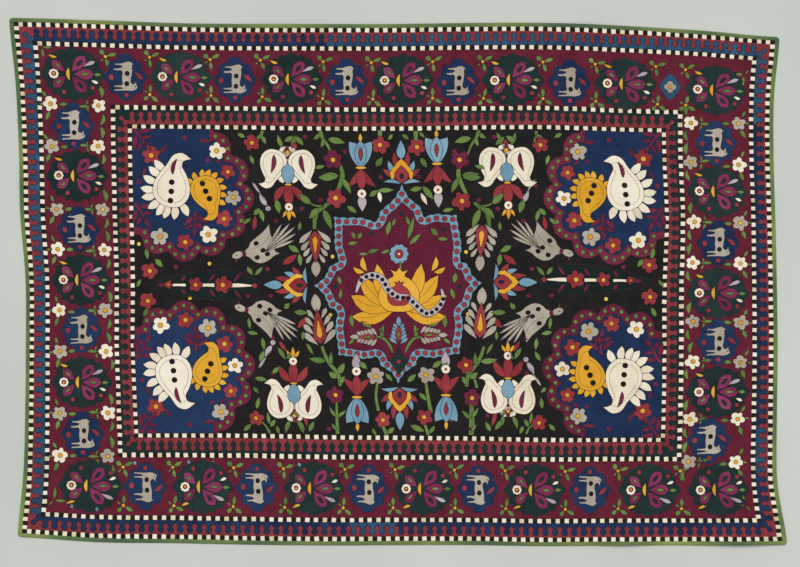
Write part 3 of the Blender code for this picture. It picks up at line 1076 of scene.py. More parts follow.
# %% Mirrored quarters
# The middle line between left and right, in pixels of the photograph.
MIRROR_PIXEL_X = 799.5
QUARTERS = ((1.0, 1.0), (-1.0, 1.0), (1.0, -1.0), (-1.0, -1.0))


def quarters(*anchors):
    """Places for a motif of the far left quarter, given by the pixel where it lies in each quarter."""
    return spots((*anchor, 0.0, *signs) for anchor, signs in zip(anchors, QUARTERS))


def about(anchor, points):
    """Pixels of the photograph as millimetres of the plan about an anchor pixel."""
    at_u, at_v = spot(*anchor)
    return np.array([spot(*point) for point in points]) - (at_u, at_v)


# %% Corner medallion outline
CORNER_MIDDLE = (586.0, 245.0)
CORNER_REACH = (140.0, 178.0)
LOBE_TURN = 29.0
FIRST_LOBE = -4.7
RING_TURNS = (64.0, -146.0)
RING_STEP = 3.0
BAND_TURNS = (-143, 62)
LAST_ROUND = 42
BAND_REACH = 177.0
CUSP_TURN = -14.5
CUSP_DEPTH = 21.0
SPOT_TURN = 7.6
SPOT_MARGIN = 8


def corner_ring(lobe, cusp):
    """The scalloped part of a corner medallion, clockwise from the far edge to the left edge."""
    angle = np.arange(*RING_TURNS, -RING_STEP)
    bulge = np.abs(np.cos(np.pi * (angle - FIRST_LOBE) / LOBE_TURN)) ** 0.7
    radius = cusp + (lobe - cusp) * bulge + np.clip(angle - LAST_ROUND, 0, None) * 0.55
    ring = ring_of(np.radians(angle), radius)
    return ring[(ring[:, 0] > -CORNER_REACH[0]) & (ring[:, 1] < CORNER_REACH[1])]


def corner_shape(lobe, cusp):
    """A corner medallion: its scalloped ring closed round the corner of the field."""
    ring = corner_ring(lobe, cusp)
    reach_x, reach_y = CORNER_REACH
    start = (ring[0, 0], reach_y)
    end = (-reach_x, ring[-1, 1])
    return anticlockwise(np.vstack([ring, [end], [(-reach_x, reach_y)], [start]]))


def band_spots():
    """Where the green spots of the crimson band lie: three on each lobe and one at each cusp."""
    for k in range(-5, 3):
        for turn in (CUSP_TURN, -SPOT_TURN, 0.0, SPOT_TURN):
            angle = FIRST_LOBE + LOBE_TURN * k + turn
            inwards = CUSP_DEPTH if turn == CUSP_TURN else 5.0 * abs(turn) / SPOT_TURN
            radius = BAND_REACH - inwards + max(0.0, angle - LAST_ROUND) * 0.5
            x, y = radius * math.cos(math.radians(angle)), radius * math.sin(math.radians(angle))
            inside = SPOT_MARGIN - CORNER_REACH[0] < x and y < CORNER_REACH[1] - SPOT_MARGIN
            if inside and BAND_TURNS[0] < angle < BAND_TURNS[1]:
                yield x, y


corner_places = [(-sx * CORNER_MIDDLE[0], sy * CORNER_MIDDLE[1], 0.0, sx, sy) for sx, sy in QUARTERS]


def in_corners(rows):
    """The places of small things that lie in all four corner medallions."""
    return [(u + sx * x, v + sy * y, turn * sx * sy, sx * size, sy * size)
            for u, v, _, sx, sy in corner_places for x, y, turn, size in rows]


sew("field", "maroon", corner_shape(191, 163), 1, corner_places, "seam")
sew("field", "navy", corner_shape(164, 134), 2, corner_places, "seam")
BAND_SPOTS = [(x, y, 0, 1) for x, y in band_spots()]
sew("field", "leaf_green", disc(11.5, 12.5, 10), 2, in_corners(BAND_SPOTS))

# %% Flowers and twigs of the corner medallions
RED_SPOTS = in_corners(((-88, 104, 20, 1.2), (121, 60, 50, 0.98), (107, -71, 0, 1.12), (0, -137, 66, 1.1)))
PALE_SPOTS = (in_corners(((91, 118, 10, 1.12), (63, -115, 30, 1.2))),
              in_corners(((134, -11, 60, 1.04), (-69, -122, 15, 1.15))))
cream_spots = PALE_SPOTS[0][:2] + PALE_SPOTS[1][2:]
grey_spots = PALE_SPOTS[1][:2] + PALE_SPOTS[0][2:]
for kind, (cloth, places) in enumerate((("red", RED_SPOTS), ("cream", cream_spots), ("grey", grey_spots))):
    sew("field", cloth, petals(43, kind), 3, places)
    sew("field", "gold", disc(12), 4, places)

TWIG = [("maroon", strip(((0, 0), (14, -14), (34, -44)), (11, 7, 4)), 3, "seam")] + leaves((
    (14, -6, 8, 38, 13, 0), (6, -16, -95, 40, 14, 0), (30, -36, -50, 33, 12, 0), (24, -24, 12, 28, 10, 0),
    (22, -34, -112, 28, 10, 0),
), "maroon", 3, "seam")
TWIG_SPOTS = ((-136, 176, 0, 1.0), (-136, -30, -8, 1.0), (28, -52, -42, 0.92), (78, 26, -30, 0.75))
sew_motif("field", TWIG, in_corners(TWIG_SPOTS))
CRIMSON_LEAVES = ((60, 145, -10, 1.0), (-55, 122, 55, 0.9), (-108, 60, 70, 0.8), (-66, 42, 75, 0.95),
                  (96, 88, -30, 0.7), (32, -92, -60, 0.8))
sew("field", "maroon", put(leaf(34, 10), -17), 3, in_corners(CRIMSON_LEAVES), "seam")
CRIMSON_DOTS = ((5, 154, 0, 1.0), (-123, 30, 0, 1.0), (66, 92, 0, 0.8))
sew("field", "maroon", disc(13), 3, in_corners(CRIMSON_DOTS), None)
print("corner flowers:", len(RED_SPOTS) + len(cream_spots) + len(grey_spots))

# %% [markdown]
# A paisley is a leaf whose tip curls over. Here each has a row of black spots along its axis, a fringe of
# small leaves along its outer side and an inner line of chain stitch that follows its outline.

# %% Paisleys
PAISLEY = (
    (0, -52), (26, -46), (42, -22), (41, 6), (28, 32), (14, 50), (16, 64), (32, 72), (32, 72), (8, 82),
    (-12, 72), (-22, 48), (-34, 26), (-44, -2), (-40, -30), (-22, -47),
)


def paisley(cloth, layer, x, y, turn, size, spot_rows):
    """A paisley patch with black spots, whose places are given on the unturned paisley."""
    motif = [(cloth, put(shape(PAISLEY, 3), x, y, turn, size), layer)]
    for spot_x, spot_y in spot_rows:
        motif.append(("black", put(put(disc(16 / size), spot_x, spot_y), x, y, turn, size), layer + 1, None))
    return motif


def fringe(cloth, layer, place, count, length, width, last=1.08):
    """Small leaves set close along a paisley's outer side, each pointing out of it."""
    ring = anticlockwise(shape(PAISLEY, 6))
    ahead = np.roll(ring, -1, axis=0) - np.roll(ring, 1, axis=0)
    outward = np.degrees(np.arctan2(-ahead[:, 0], ahead[:, 1]))
    motif = []
    for share in np.linspace(0.71, last, count):
        number = int(share * len(ring)) % len(ring)
        blade = put(put(leaf(length, width, 3, 0.55, 0.8), -12), *ring[number], outward[number])
        motif.append((cloth, put(blade, *place), layer))
    return motif


def inner_line(group_places, paisleys, size, layer):
    """A line of chain stitch inside each paisley of a motif, at each of its places."""
    for u, v, _, sx, sy in group_places:
        for x, y, turn, scale, *flip in paisleys:
            line = put(shape(PAISLEY, 3), x, y, turn, size * scale, *flip) * (sx, sy) + (u, v)
            stitch_line("field", line, "dark", layer, closed=True)


CREAM_PAISLEY = (-32, 20, -12, 1.16)
GOLD_PAISLEY = (60, 0, 196, 0.94)
corner_pair = fringe("cream", 4, CREAM_PAISLEY, 10, 42, 19) + fringe("gold", 4, GOLD_PAISLEY, 9, 32, 17)
corner_pair += paisley("cream", 5, *CREAM_PAISLEY, ((2, -36), (0, -14), (-3, 8)))
corner_pair.append(("maroon", put(put(leaf(40, 9, 4, 0.4, 0.8), -4, 26, 86), *CREAM_PAISLEY), 6))
corner_pair += paisley("gold", 5, *GOLD_PAISLEY, ((2, -30), (0, -6), (-4, 18)))
sew_motif("field", corner_pair, corner_places)
inner_line(corner_places, (CREAM_PAISLEY, GOLD_PAISLEY), 0.78, 5)
print("paisleys:", 2 * len(corner_places))

# %% [markdown]
# ## Centre star
#
# The middle is an eight-pointed star of wine-coloured wool. Its band is light blue, with a scalloped outer
# edge and red spots spread evenly along each side. Its corners are unequal, as in the photograph.

# %% Star outline
STAR_PIXELS = (
    (401.8, 185.6), (376.3, 222), (334.4, 217.3), (338.8, 261.5), (314.8, 285.6), (337.5, 312), (339, 354.8),
    (377.6, 357), (398.2, 382.5), (418.8, 356.5), (459, 353.4), (461.4, 312), (481, 283), (460, 260.5),
    (456.2, 215.5), (423.5, 217),
)
SCALLOP = 23.4
SCALLOP_STEPS = 6
SCALLOP_DEPTH = 3.2
STAR_BAND = 21.0
STAR_SPOT_PITCH = 21.5
TIP_BOWS = ((0.36, -4.0), (0.74, 6.5))
CORNER_BOWS = ((0.25, 1.5), (0.66, 6.0))


def inset_outline(outline, distance):
    """A straight-sided outline moved inwards by a distance."""
    outline = anticlockwise(outline)
    ahead = np.roll(outline, -1, axis=0) - outline
    ahead /= np.linalg.norm(ahead, axis=1)[:, None]
    inward = np.stack([-ahead[:, 1], ahead[:, 0]], axis=1)
    before = np.roll(inward, 1, axis=0)
    middle = inward + before
    return outline + middle * (2 * distance / np.sum(middle * middle, axis=1))[:, None]


def bowed(start, end, bows):
    """Points on the way from one point to another, moved outwards from the star's middle."""
    way = end - start
    side = np.array([way[1], -way[0]]) / np.linalg.norm(way)
    outward = side if side @ (start + end) > 0 else -side
    return [start + share * way + bow * outward for share, bow in bows]


def evenly(line, pitch, steps=1):
    """Points along a line, evenly apart in whole pitches, without its last point."""
    run = np.concatenate([[0.0], np.cumsum(np.linalg.norm(np.diff(line, axis=0), axis=1))])
    even = np.linspace(0.0, run[-1], steps * round(run[-1] / pitch) + 1)[:-1]
    return np.stack([np.interp(even, run, line[:, axis]) for axis in (0, 1)], axis=1)


def unfolded(line, outline, distance):
    """The points of an inset line that keep their distance from the outline, so no corner folds over."""
    gap = np.linalg.norm(line[:, None] - outline[None], axis=2).min(axis=1)
    return line[gap > 0.97 * distance]


def star_path(points):
    """The star's edge from sharp point to sharp point through round notches, in six steps a scallop."""
    path = []
    for k in range(0, len(points), 2):
        start, notch, end = points[k], points[k + 1], points[(k + 2) % len(points)]
        bows = (TIP_BOWS, CORNER_BOWS) if k % 4 == 0 else (CORNER_BOWS, TIP_BOWS)
        turning = [start, *bowed(start, notch, bows[0]), notch, *bowed(end, notch, bows[1])[::-1], end]
        path.append(evenly(smooth_line(turning, 8), SCALLOP, SCALLOP_STEPS))
    return np.concatenate(path)


star_middle = np.array(spot(398, 285))
star_points = [np.array(spot(*pixel)) - star_middle for pixel in STAR_PIXELS]
star = star_path(star_points)
bulge = np.abs(np.cos(np.pi * np.arange(len(star)) / SCALLOP_STEPS)) ** 0.6
wine_edge = unfolded(inset_outline(star, STAR_BAND + 1 - 1.5 * bulge), star, STAR_BAND - 0.5)
sew("field", "light_blue", inset_outline(star, 1.5 - SCALLOP_DEPTH * bulge) + star_middle, 1, thread="dark")
sew("field", "wine", wine_edge + star_middle, 2, thread="seam")
mid_line = unfolded(inset_outline(star, STAR_BAND / 2), star, STAR_BAND / 2)
cuts = [int(np.argmin(np.linalg.norm(mid_line - point, axis=1))) for point in star_points[::2]]
star_spots = []
for start, end in zip(cuts, cuts[1:] + cuts[:1]):
    count = end - start if end > start else end - start + len(mid_line)
    side = mid_line[np.arange(start, start + count + 1) % len(mid_line)]
    star_spots += [tuple(place) for place in evenly(side, STAR_SPOT_PITCH) + star_middle]
sew("field", "red", disc(14, 14.5), 2, star_spots)
print("star spots:", len(star_spots))

# %% [markdown]
# On the star lies a golden pomegranate between two fans of leaves, with a lilac ribbon of black spots
# that winds over it. Above it is a light-blue rosette, and below it a light-blue lotus between two grey
# palmette leaves.

# %% Golden palmette
GOLD_MIDDLE = (399.0, 294.0)
gold_u, gold_v = spot(*GOLD_MIDDLE)
POMEGRANATE_SIDE = (
    (0, -46), (30, -42), (48, -18), (44, 12), (26, 32), (13, 40), (22, 56), (22, 56), (8, 50), (0, 60),
)
POMEGRANATE = POMEGRANATE_SIDE + tuple((-x, y) for x, y in POMEGRANATE_SIDE[:0:-1])
RIBBON = (
    (-118, 4), (-104, 38), (-74, 52), (-46, 40), (-30, 12), (-4, -8), (26, -12), (50, -34), (76, -54),
    (104, -42), (122, -14), (116, 14),
)
GOLD_LEAVES = ((100, 122, 40, 3), (73, 128, 44, 4), (46, 136, 42, 5), (22, 136, 38, 6))
golden = []
for sign in (-1, 1):
    for turn, length, wide, layer in GOLD_LEAVES:
        blade = leaf(length, wide, sign * -12, 0.58, 0.8)
        golden.append(("gold", put(blade, sign * 10, -42, 90 - sign * turn), layer))
    golden.append(("gold", put(leaf(44, 16, sign * -6, 0.5), sign * 88, 62, 90 - sign * 16), 3))
    golden.append(("gold", put(leaf(36, 14, sign * -5, 0.5), sign * 94, 60, 90 - sign * 66), 3))
golden += [
    ("gold", put(shape(POMEGRANATE, 3), 0, 4, 0, 1.16), 7),
    ("red", put(shape(POMEGRANATE, 2), 0, -2, 0, 0.66), 8),
    ("lilac", strip(RIBBON, (5, 14, 19, 21, 21, 20, 20, 19, 18, 17, 13, 4), 4), 8),
]
golden += [("black", put(disc(11.5), *place), 9, None) for place in smooth_line(RIBBON, 2)[2:-2]]
sew_motif("field", golden, [(gold_u, gold_v)])
for sign in (-1, 1):
    for turn, length, _, layer in GOLD_LEAVES[:3]:
        vein = smooth_line([(46, sign * -9), (0.62 * length, sign * -11), (0.88 * length, sign * -4)], 5)
        line = put(vein, sign * 10, -42, 90 - sign * turn) + (gold_u, gold_v)
        stitch_line("field", line, "dark", layer)

# %% Rosette, lotus and palmette leaves of the star
rosette = [
    ("leaf_green", strip(((4, -20), (6, -44), (16, -60)), (5, 6, 3)), 3),
    ("light_blue", scalloped(54, 56, 10, 0.28, 2.0, 0.5, 0.0, 5), 3),
    ("red", disc(24, 26), 4),
    ("cream", disc(6, 6, 8), 5, None),
]
sew_motif("field", rosette, [spot(399, 254)])


def palmette_leaf(cloth, length=78, lobes=5):
    """A fan of small lobes either side of a narrow leaf, with its base at the origin."""
    motif = [(cloth, put(leaf(length * 0.36, 14, 0, 0.5, 0.8), length * 0.64, 0), 3)]
    for k in range(lobes):
        along = length * (0.02 + 0.66 * k / lobes)
        for side in (-1, 1):
            reach = length * (0.36 - 0.03 * k)
            lobe = put(leaf(reach, 10.5, 0, 0.66, 0.6), along, side * 3, side * (52 - 4 * k))
            motif.append((cloth, lobe, 3))
    return motif


for cloth, red, green, places in (
    ("grey", (4, 0, 0, 50, 17, 0, 0.5), (14, 0, 0, 26, 7, 0, 0.5), ((378, 337, 180), (419.5, 335, 0))),
    ("light_blue", (6, 0, 0, 46, 18, 0, 0.5), (16, 0, 0, 24, 8, 0, 0.5), ((398.7, 344.5, 90),)),
):
    fan = palmette_leaf(cloth) + leaves((red,), "red", 4) + leaves((green,), layer=5)
    sew_motif("field", fan, spots(places))
drop = [
    ("dark_green", np.array([(0, 30), (7, 8), (26, -14), (0, -52), (-26, -14), (-7, 8)], float), 3, "seam"),
    ("red", put(disc(12), 0, -16), 4),
]
sew_motif("field", drop, [spot(398.7, 356)])
BRANCH = (399.0, 340.0)
branch_stem = strip(about(BRANCH, ((376, 336.5), (384, 338.5), (390, 346), (393, 353))), (5, 8, 8, 3))
branch_feet = about(BRANCH, ((382, 338), (383, 334)))
branch = [("leaf_green", branch_stem, 3)]
branch += leaves(((*branch_feet[0], 82, 40, 11, 2, 0.4), (*branch_feet[1], 118, 20, 7)), layer=3)
sew_motif("field", branch, spots(((*BRANCH, 0, 1, 1), (*BRANCH, 0, -1, 1))))

# %% [markdown]
# ## Cypresses and palmettes
#
# A dark-green cypress lies on the long axis at either end, with cream bars and red flowers down its middle.
# Four palmettes point away from the star: a gold chevron round a red heart, with red and light-blue petals.

# %% Cypresses
CYPRESS_TIP = (143.0, 285.0)
# Each row: the distance from the tip, and half the width there.
CYPRESS_SIDE = (
    (0, 0.5), (22, 5), (50, 14), (76, 23), (110, 31), (150, 37), (196, 42), (240, 44), (266, 43), (272, 27),
    (300, 24), (322, 12),
)
CYPRESS_STEPS = 54
along = np.linspace(0.0, CYPRESS_SIDE[-1][0], CYPRESS_STEPS)
notches = np.where(np.arange(CYPRESS_STEPS) % 2, 1.4, -1.4) * np.clip(along / 40, 0, 1)
jagged = np.interp(along, *zip(*CYPRESS_SIDE)) + notches
side = np.stack([along, np.maximum(jagged, 0.5)], axis=1)
cypress = [("bottle_green", np.concatenate([side * (1, -1), side[::-1]]), 1, "seam")]
for start, end, wide, narrow in ((81, 118, 7, 8), (156, 197, 9, 10), (230, 300, 11, 4)):
    bar = strip(((start, 0), ((start + end) / 2, 0.5), (end, 0)), (wide, wide, narrow))
    cypress.append(("cream", bar, 2))
for along, size in ((70, 0.55), (145, 0.95), (220, 1.15)):
    cypress.append(("red", put(petals(43, int(size * 2)), along, 1, along, size), 3))
    cypress.append(("gold", put(disc(12 * size), along, 1), 4))
for along, turn, length in ((105, 22, 22), (182, 24, 30), (250, 26, 34)):
    for sign in (-1, 1):
        cypress += leaves(((along, sign * 10, sign * 52, length, 8, 0, 0.5),), "maroon", 2, "seam")
cypress += leaves(((38, 0, 0, 26, 11, 0, 0.5),), "maroon", 2, "seam")
cypress.append(("red", put(disc(14), 308, 0), 2))
sew_motif("field", cypress, [spot(*CYPRESS_TIP), (*spot(656, 281), 0.0, -1.0, 1.0)])

# %% Palmettes
chevron = np.array([
    (10, 22), (14, 30), (22, 31), (29, 33), (36, 27), (42, 26), (48, 18), (56, 14), (69, 0)], float)
chevron_in = np.array([(19, 20), (24, 20), (31, 18), (36, 13), (42, 9), (49, 0)], float)
outer_side, inner_side = (np.vstack([half, (half * (1, -1))[-2::-1]]) for half in (chevron, chevron_in))
palmette = leaves(((66, 0, 0, 54, 25, 0, 0.40),), "light_blue", 2) + [
    ("gold", np.vstack([outer_side, inner_side[::-1]]), 3),
    ("red", put(leaf(50, 40, 0, 0.46), 0, 0), 4),
    ("dark_green", put(disc(16, 11), 20, 0), 5),
]
for sign in (-1, 1):
    palmette += leaves(((40, sign * 11, sign * 9, 50, 16, sign * 2, 0.42),), "red")
    palmette += leaves(((31, sign * 21, sign * 24, 36, 15, sign * 2, 0.42),), "light_blue", 2)
    palmette += leaves(((14, sign * 24, sign * 46, 38, 15, sign * -2, 0.5),), "red")
    palmette += leaves(((-2, sign * 2, sign * 84, 50, 11, sign * -6, 0.5),), "light_blue", 2)
PALMETTE_PLACES = ((307, 285.5, 180), (494, 282, 0), (402, 183.5, 90), (399.5, 387.5, -90))
sew_motif("field", palmette, spots(PALMETTE_PLACES))
print("palmettes:", len(PALMETTE_PLACES))

# %% [markdown]
# ## Vines, buds and field flowers
#
# Vines grow in from the long edges of the field and carry red and maroon flowers. Each ends in a large grey
# bud beside the star. The upper vines are longer than the lower ones.

# %% Buds
bud = leaves(((80, 0, 0, 48, 26, 0, 0.5, 0.8),), "grey", 2)
for along, off, reach, wide, lean in ((-3, 6, 52, 16, 46), (24, 14, 39, 15, 40), (44, 12, 34, 13, 38),
                                      (62, 8, 33, 12, 33)):
    for sign in (-1, 1):
        bud += leaves(((along, sign * off, sign * lean, reach, wide, 0, 0.68, 0.6),), "grey", 2)
bud += leaves(((0, 0, 0, 90, 34, 0, 0.25, 0.85),), "red", 3)
bud += leaves(((14, 0, 0, 50, 15, 0, 0.2, 0.8),), "gold", 4)
BUD_PLACES = ((314.7, 231, -88), (482, 225, -92), (321, 344, 97, 1.1, 1.05), (479.5, 338, 87, 1.1, 1.05))
sew_motif("field", bud, spots(BUD_PLACES))

# %% Vines
UPPER_STEMS = (
    (((320, 131), (323, 139), (328, 146), (332, 156)), (11, 8, 5)),
    (((335, 158), (340.5, 166), (342.5, 176), (340, 185), (336, 195)), (5, 9, 13, 12, 9)),
    (((329, 203), (324, 207), (318, 211), (315, 219), (314.5, 229)), (9, 12, 12, 10)),
    (((324, 206.5), (317, 206), (311, 204)), (7, 5, 4)),
)
UPPER_LEAVES = (
    ((311, 204), 40, 17, 138), ((318, 208), 36, 17, -130), ((323, 209), 56, 17, -68),
    ((328, 139), 44, 17, -14), ((324, 138), 26, 11, -108), ((320, 134), 22, 11, -140),
    ((342, 178), 46, 14, -62), ((339, 176), 44, 17, 176),
)
LOWER_STEMS = (
    (((337.6, 434), (337, 418), (336.6, 401)), (11, 9, 6)),
    (((340.5, 386), (338, 374), (330, 364), (325, 355), (322, 346)), (10, 11, 10, 8)),
)
LOWER_LEAVES = (
    ((326, 361), 44, 15, 172), ((331, 365), 34, 11, 88), ((337, 378), 26, 15, 142), ((339, 374), 32, 16, 62),
    ((340, 384), 24, 13, 58), ((336, 417), 32, 9, 122), ((338, 418), 30, 10, 45), ((337, 430), 22, 8, 128),
)
LEAF_SIZE = 1.1
for stems, vine_leaves, (foot, mirrored_foot) in (
    (UPPER_STEMS, UPPER_LEAVES, ((322, 132), (477, 131))),
    (LOWER_STEMS, LOWER_LEAVES, ((338, 433), (470, 434))),
):
    vine = [("leaf_green", strip(about(foot, points), widths), 1) for points, widths in stems]
    for base, length, width, turn in vine_leaves:
        blade = put(leaf(length, width, 1), *about(foot, (base,))[0], turn, LEAF_SIZE)
        vine.append(("leaf_green", blade, 2))
    sew_motif("field", vine, spots(((*foot, 0, 1, 1), (*mirrored_foot, 0, -1, 1))))

# %% Field flowers
RED_FLOWERS = (
    (252, 143, 1.05, 10), (380, 145, 1.15, 20), (417, 147, 1.12, 55), (540.5, 145, 1.05, 40),
    (335.6, 198, 1.25, 0), (462, 201, 1.22, 30), (383, 420, 1.0, 15), (424, 417, 1.05, 50),
    (466, 365, 1.05, 20), (539, 423, 1.0, 5), (256, 418, 0.98, 30), (150, 271, 1.05, 0),
    (148, 301, 1.08, 45), (649, 265, 1.05, 60), (650, 297, 1.05, 15),
)
MAROON_FLOWERS = ((333, 160, 1.22, 10), (459.5, 160, 1.2, 50), (335.7, 395, 1.12, 25), (472, 398, 1.12, 0))
GREY_FLOWERS = ((375.9, 376.5, 1.12, 20), (426, 375, 1.12, 55))
hearts = []
for cloth, table in (("red", RED_FLOWERS), ("maroon", MAROON_FLOWERS), ("grey", GREY_FLOWERS)):
    places = [(*spot(px, py), turn, size, size) for px, py, size, turn in table]
    for kind in range(3):
        sew("field", cloth, petals(44, kind), 3, places[kind::3], "dark", wobble=20)
    hearts += places
sew("field", "gold", disc(11, 12), 4, hearts)
# Each stem: the pixels that it passes, and its widths in millimetres.
STEMS = (
    (((380, 130), (380, 140)), (13, 10)),
    (((415.5, 131), (416, 141)), (13, 10)),
    (((377.5, 382), (376, 396), (378.5, 411)), (7, 8, 9)),
    (((425.7, 381), (428, 397), (431, 413)), (7, 10, 11)),
    (((382.3, 425), (387, 435)), (9, 11)),
    (((423.7, 421), (428.5, 435)), (6, 10)),
    (((261, 421), (266, 426), (270, 433)), (4, 5, 8)),
    (((534, 424), (529, 428), (526, 434)), (4, 5, 8)),
    (((469, 371), (474, 378), (477, 388)), (5, 6, 9)),
    (((472, 405), (473, 420), (472, 435)), (7, 8, 10)),
    (((263, 131), (259, 137), (255, 140)), (9, 6, 3)),
    (((536, 131), (537, 137), (540, 140)), (9, 6, 3)),
)
for points, widths in STEMS:
    sew("field", "leaf_green", strip([spot(*point) for point in points], widths), 1)
print("field flowers:", len(hearts))

# %% [markdown]
# ## Birds
#
# A grey bird with black spots flies on each side of both cypresses. Each is one patch for body and raised
# wing, five long tail feathers, a head, and a crimson collar between head and body. A small lilac bird sits
# between each of them and the motifs of the next cell.

# %% Birds
BIRD = (
    (-40, 9), (-30, 20), (-24, 34), (-6, 50), (12, 66), (27, 85), (27, 85), (29, 66), (33, 50), (33, 50),
    (43, 38), (46, 26), (42, 12), (57, 4), (57, 4), (40, -3), (28, -14), (6, -24), (-14, -20), (-28, -8),
    (-40, -4), (-40, -4),
)
FEATHERS = ((60, 92), (50, 106), (41, 110), (32, 102), (23, 86))
BIRD_SPOTS = ((-9, 31), (10, 12), (22, 2), (-6, -8))
bird = [("grey", shape(BIRD, 3), 1)]
bird += leaves([(16, 8, turn, length, 8, 0, 0.66, 0.8) for turn, length in FEATHERS], "grey")
bird += [
    ("grey", put(disc(32, 20), -60, -2, 20), 1),
    ("maroon", put(disc(9, 18), -42, 3, 12), 2),
    ("black", put(disc(4, 4, 8), -64, -3), 2, None),
    ("red", put(leaf(12, 3), -62, -12, -110), 1, None),
]
bird += [("black", put(disc(15, 13), x, y, 20), 2, None) for x, y in BIRD_SPOTS]
bird_places = quarters((259.5, 254.6), (546, 252), (262, 309), (536, 312))
sew_motif("field", bird, bird_places)
for u, v, _, sx, sy in bird_places:
    wing = smooth_line(((-22, 14), (2, 24), (22, 44), (30, 62)), 4) * (sx, sy) + (u, v)
    stitch_line("field", wing, "dark", 1)
SMALL_BIRD = [
    ("lilac", put(leaf(42, 15, 2, 0.4), 0, 0, 118), 1),
    ("lilac", put(leaf(60, 8, 0, 0.75, 0.8), -5, 16, 124), 1),
    ("lilac", put(disc(15, 14), 3, -7), 2),
    ("maroon", put(disc(11, 4, 8), 1, 1, 15), 3, None),
    ("black", put(disc(3.5, 3.5, 6), 4, -8), 3, None),
]
sew_motif("field", SMALL_BIRD, quarters((267, 206), (522, 203), (272, 345), (527, 362)))
print("birds:", 2 * len(bird_places))

# %% [markdown]
# ## Paisley trees and tulips
#
# Between vine and bird stand two cream paisleys in each quarter, back to back about a light-blue drop, with
# a red tulip under them and a gold crown. Nearer the middle are light-blue bulbs with red petals below.

# %% Paisley trees
LEFT_PAISLEY = (-41, 30, 166, 0.84, 1.0)
RIGHT_PAISLEY = (41, 30, 14, 0.84, -1.0)
tree_motif = []
for x, y, turn, size, flip in (LEFT_PAISLEY, RIGHT_PAISLEY):
    tree_motif += fringe("cream", 1, (x, y, turn, size, flip), 6, 36, 18, 0.95) + [
        ("cream", put(shape(PAISLEY, 3), x, y, turn, size, flip), 2),
        ("maroon", put(put(leaf(62, 14, 5, 0.4, 0.8), 4, -34, 94), x, y, turn, size, flip), 3),
        ("leaf_green", put(leaf(40, 13, 2), 0.3 * x, 78, 90 - x * 0.5), 1),
        ("red", put(leaf(60, 21, x * 0.12, 0.5), x * 0.1, -26, -90 + x * 0.9), 1),
        ("gold", put(leaf(24, 9), x * 0.14, -96, -90 + x * 0.75), 2),
    ]
tree_motif += [
    ("light_blue", put(leaf(64, 36, 0, 0.4), 0, 34, -90), 3),
    ("gold", put(disc(20, 7), 0, -24), 4),
    ("red", put(leaf(66, 27, 0, 0.5, 0.9), 0, -22, -90), 2),
    ("cream", put(scalloped(23, 23, 8, 0.1, each=5), 0, -86), 3),
    ("red", put(disc(7, 7, 8), 0, -86), 4, None),
    ("gold", put(leaf(32, 12), 0, -94, -90), 2),
    ("maroon", np.array([(0, 20), (14, 0), (0, -20), (-14, 0)], float) + (0, 66), 1),
    ("gold", put(disc(11), 0, 66), 2),
]
tree_places = quarters((288, 176), (507, 174), (294, 392), (508, 387))
sew_motif("field", tree_motif, tree_places)
inner_line(tree_places, (LEFT_PAISLEY, RIGHT_PAISLEY), 0.76, 2)

# %% Bulb tulips
tulip = [
    ("light_blue", put(leaf(78, 42, -10, 0.5, 0.8), -3, 6, 111), 2),
    ("light_blue", put(leaf(78, 42, 10, 0.5, 0.8), 3, 6, 69), 2),
    ("light_blue", put(leaf(78, 34, 0, 0.5, 0.9), 0, 6, 90), 3),
    ("gold", put(leaf(24, 11), 0, 78, 90), 4),
    ("gold", put(disc(30, 8), 0, 6), 4),
    ("red", put(leaf(62, 26, 0, 0.5, 0.9), 0, 4, -90), 2),
    ("red", put(leaf(60, 18, 7, 0.5), -4, 2, -126), 1),
    ("red", put(leaf(60, 18, -7, 0.5), 4, 2, -54), 1),
    ("cream", put(scalloped(25, 25, 8, 0.1, each=5), 0, -66), 4),
    ("red", put(disc(8, 8, 8), 0, -66), 5, None),
    ("lilac", put(leaf(46, 25, 0, 0.4), 0, -70, -90), 3),
    ("red", put(leaf(38, 12, 0, 0.4), 0, 62, -90), 4),
]
tulip_places = quarters((361, 170), (437, 166), (357, 395), (446, 393))
sew_motif("field", tulip, tulip_places)
print("trees and tulips:", len(tree_places) + len(tulip_places))

# %% [markdown]
# ## Loose leaves and dots
#
# Whatever ground is left is filled with single leaves, pairs of leaves and small dots, so that no gap in
# the black is wider than a thumb.

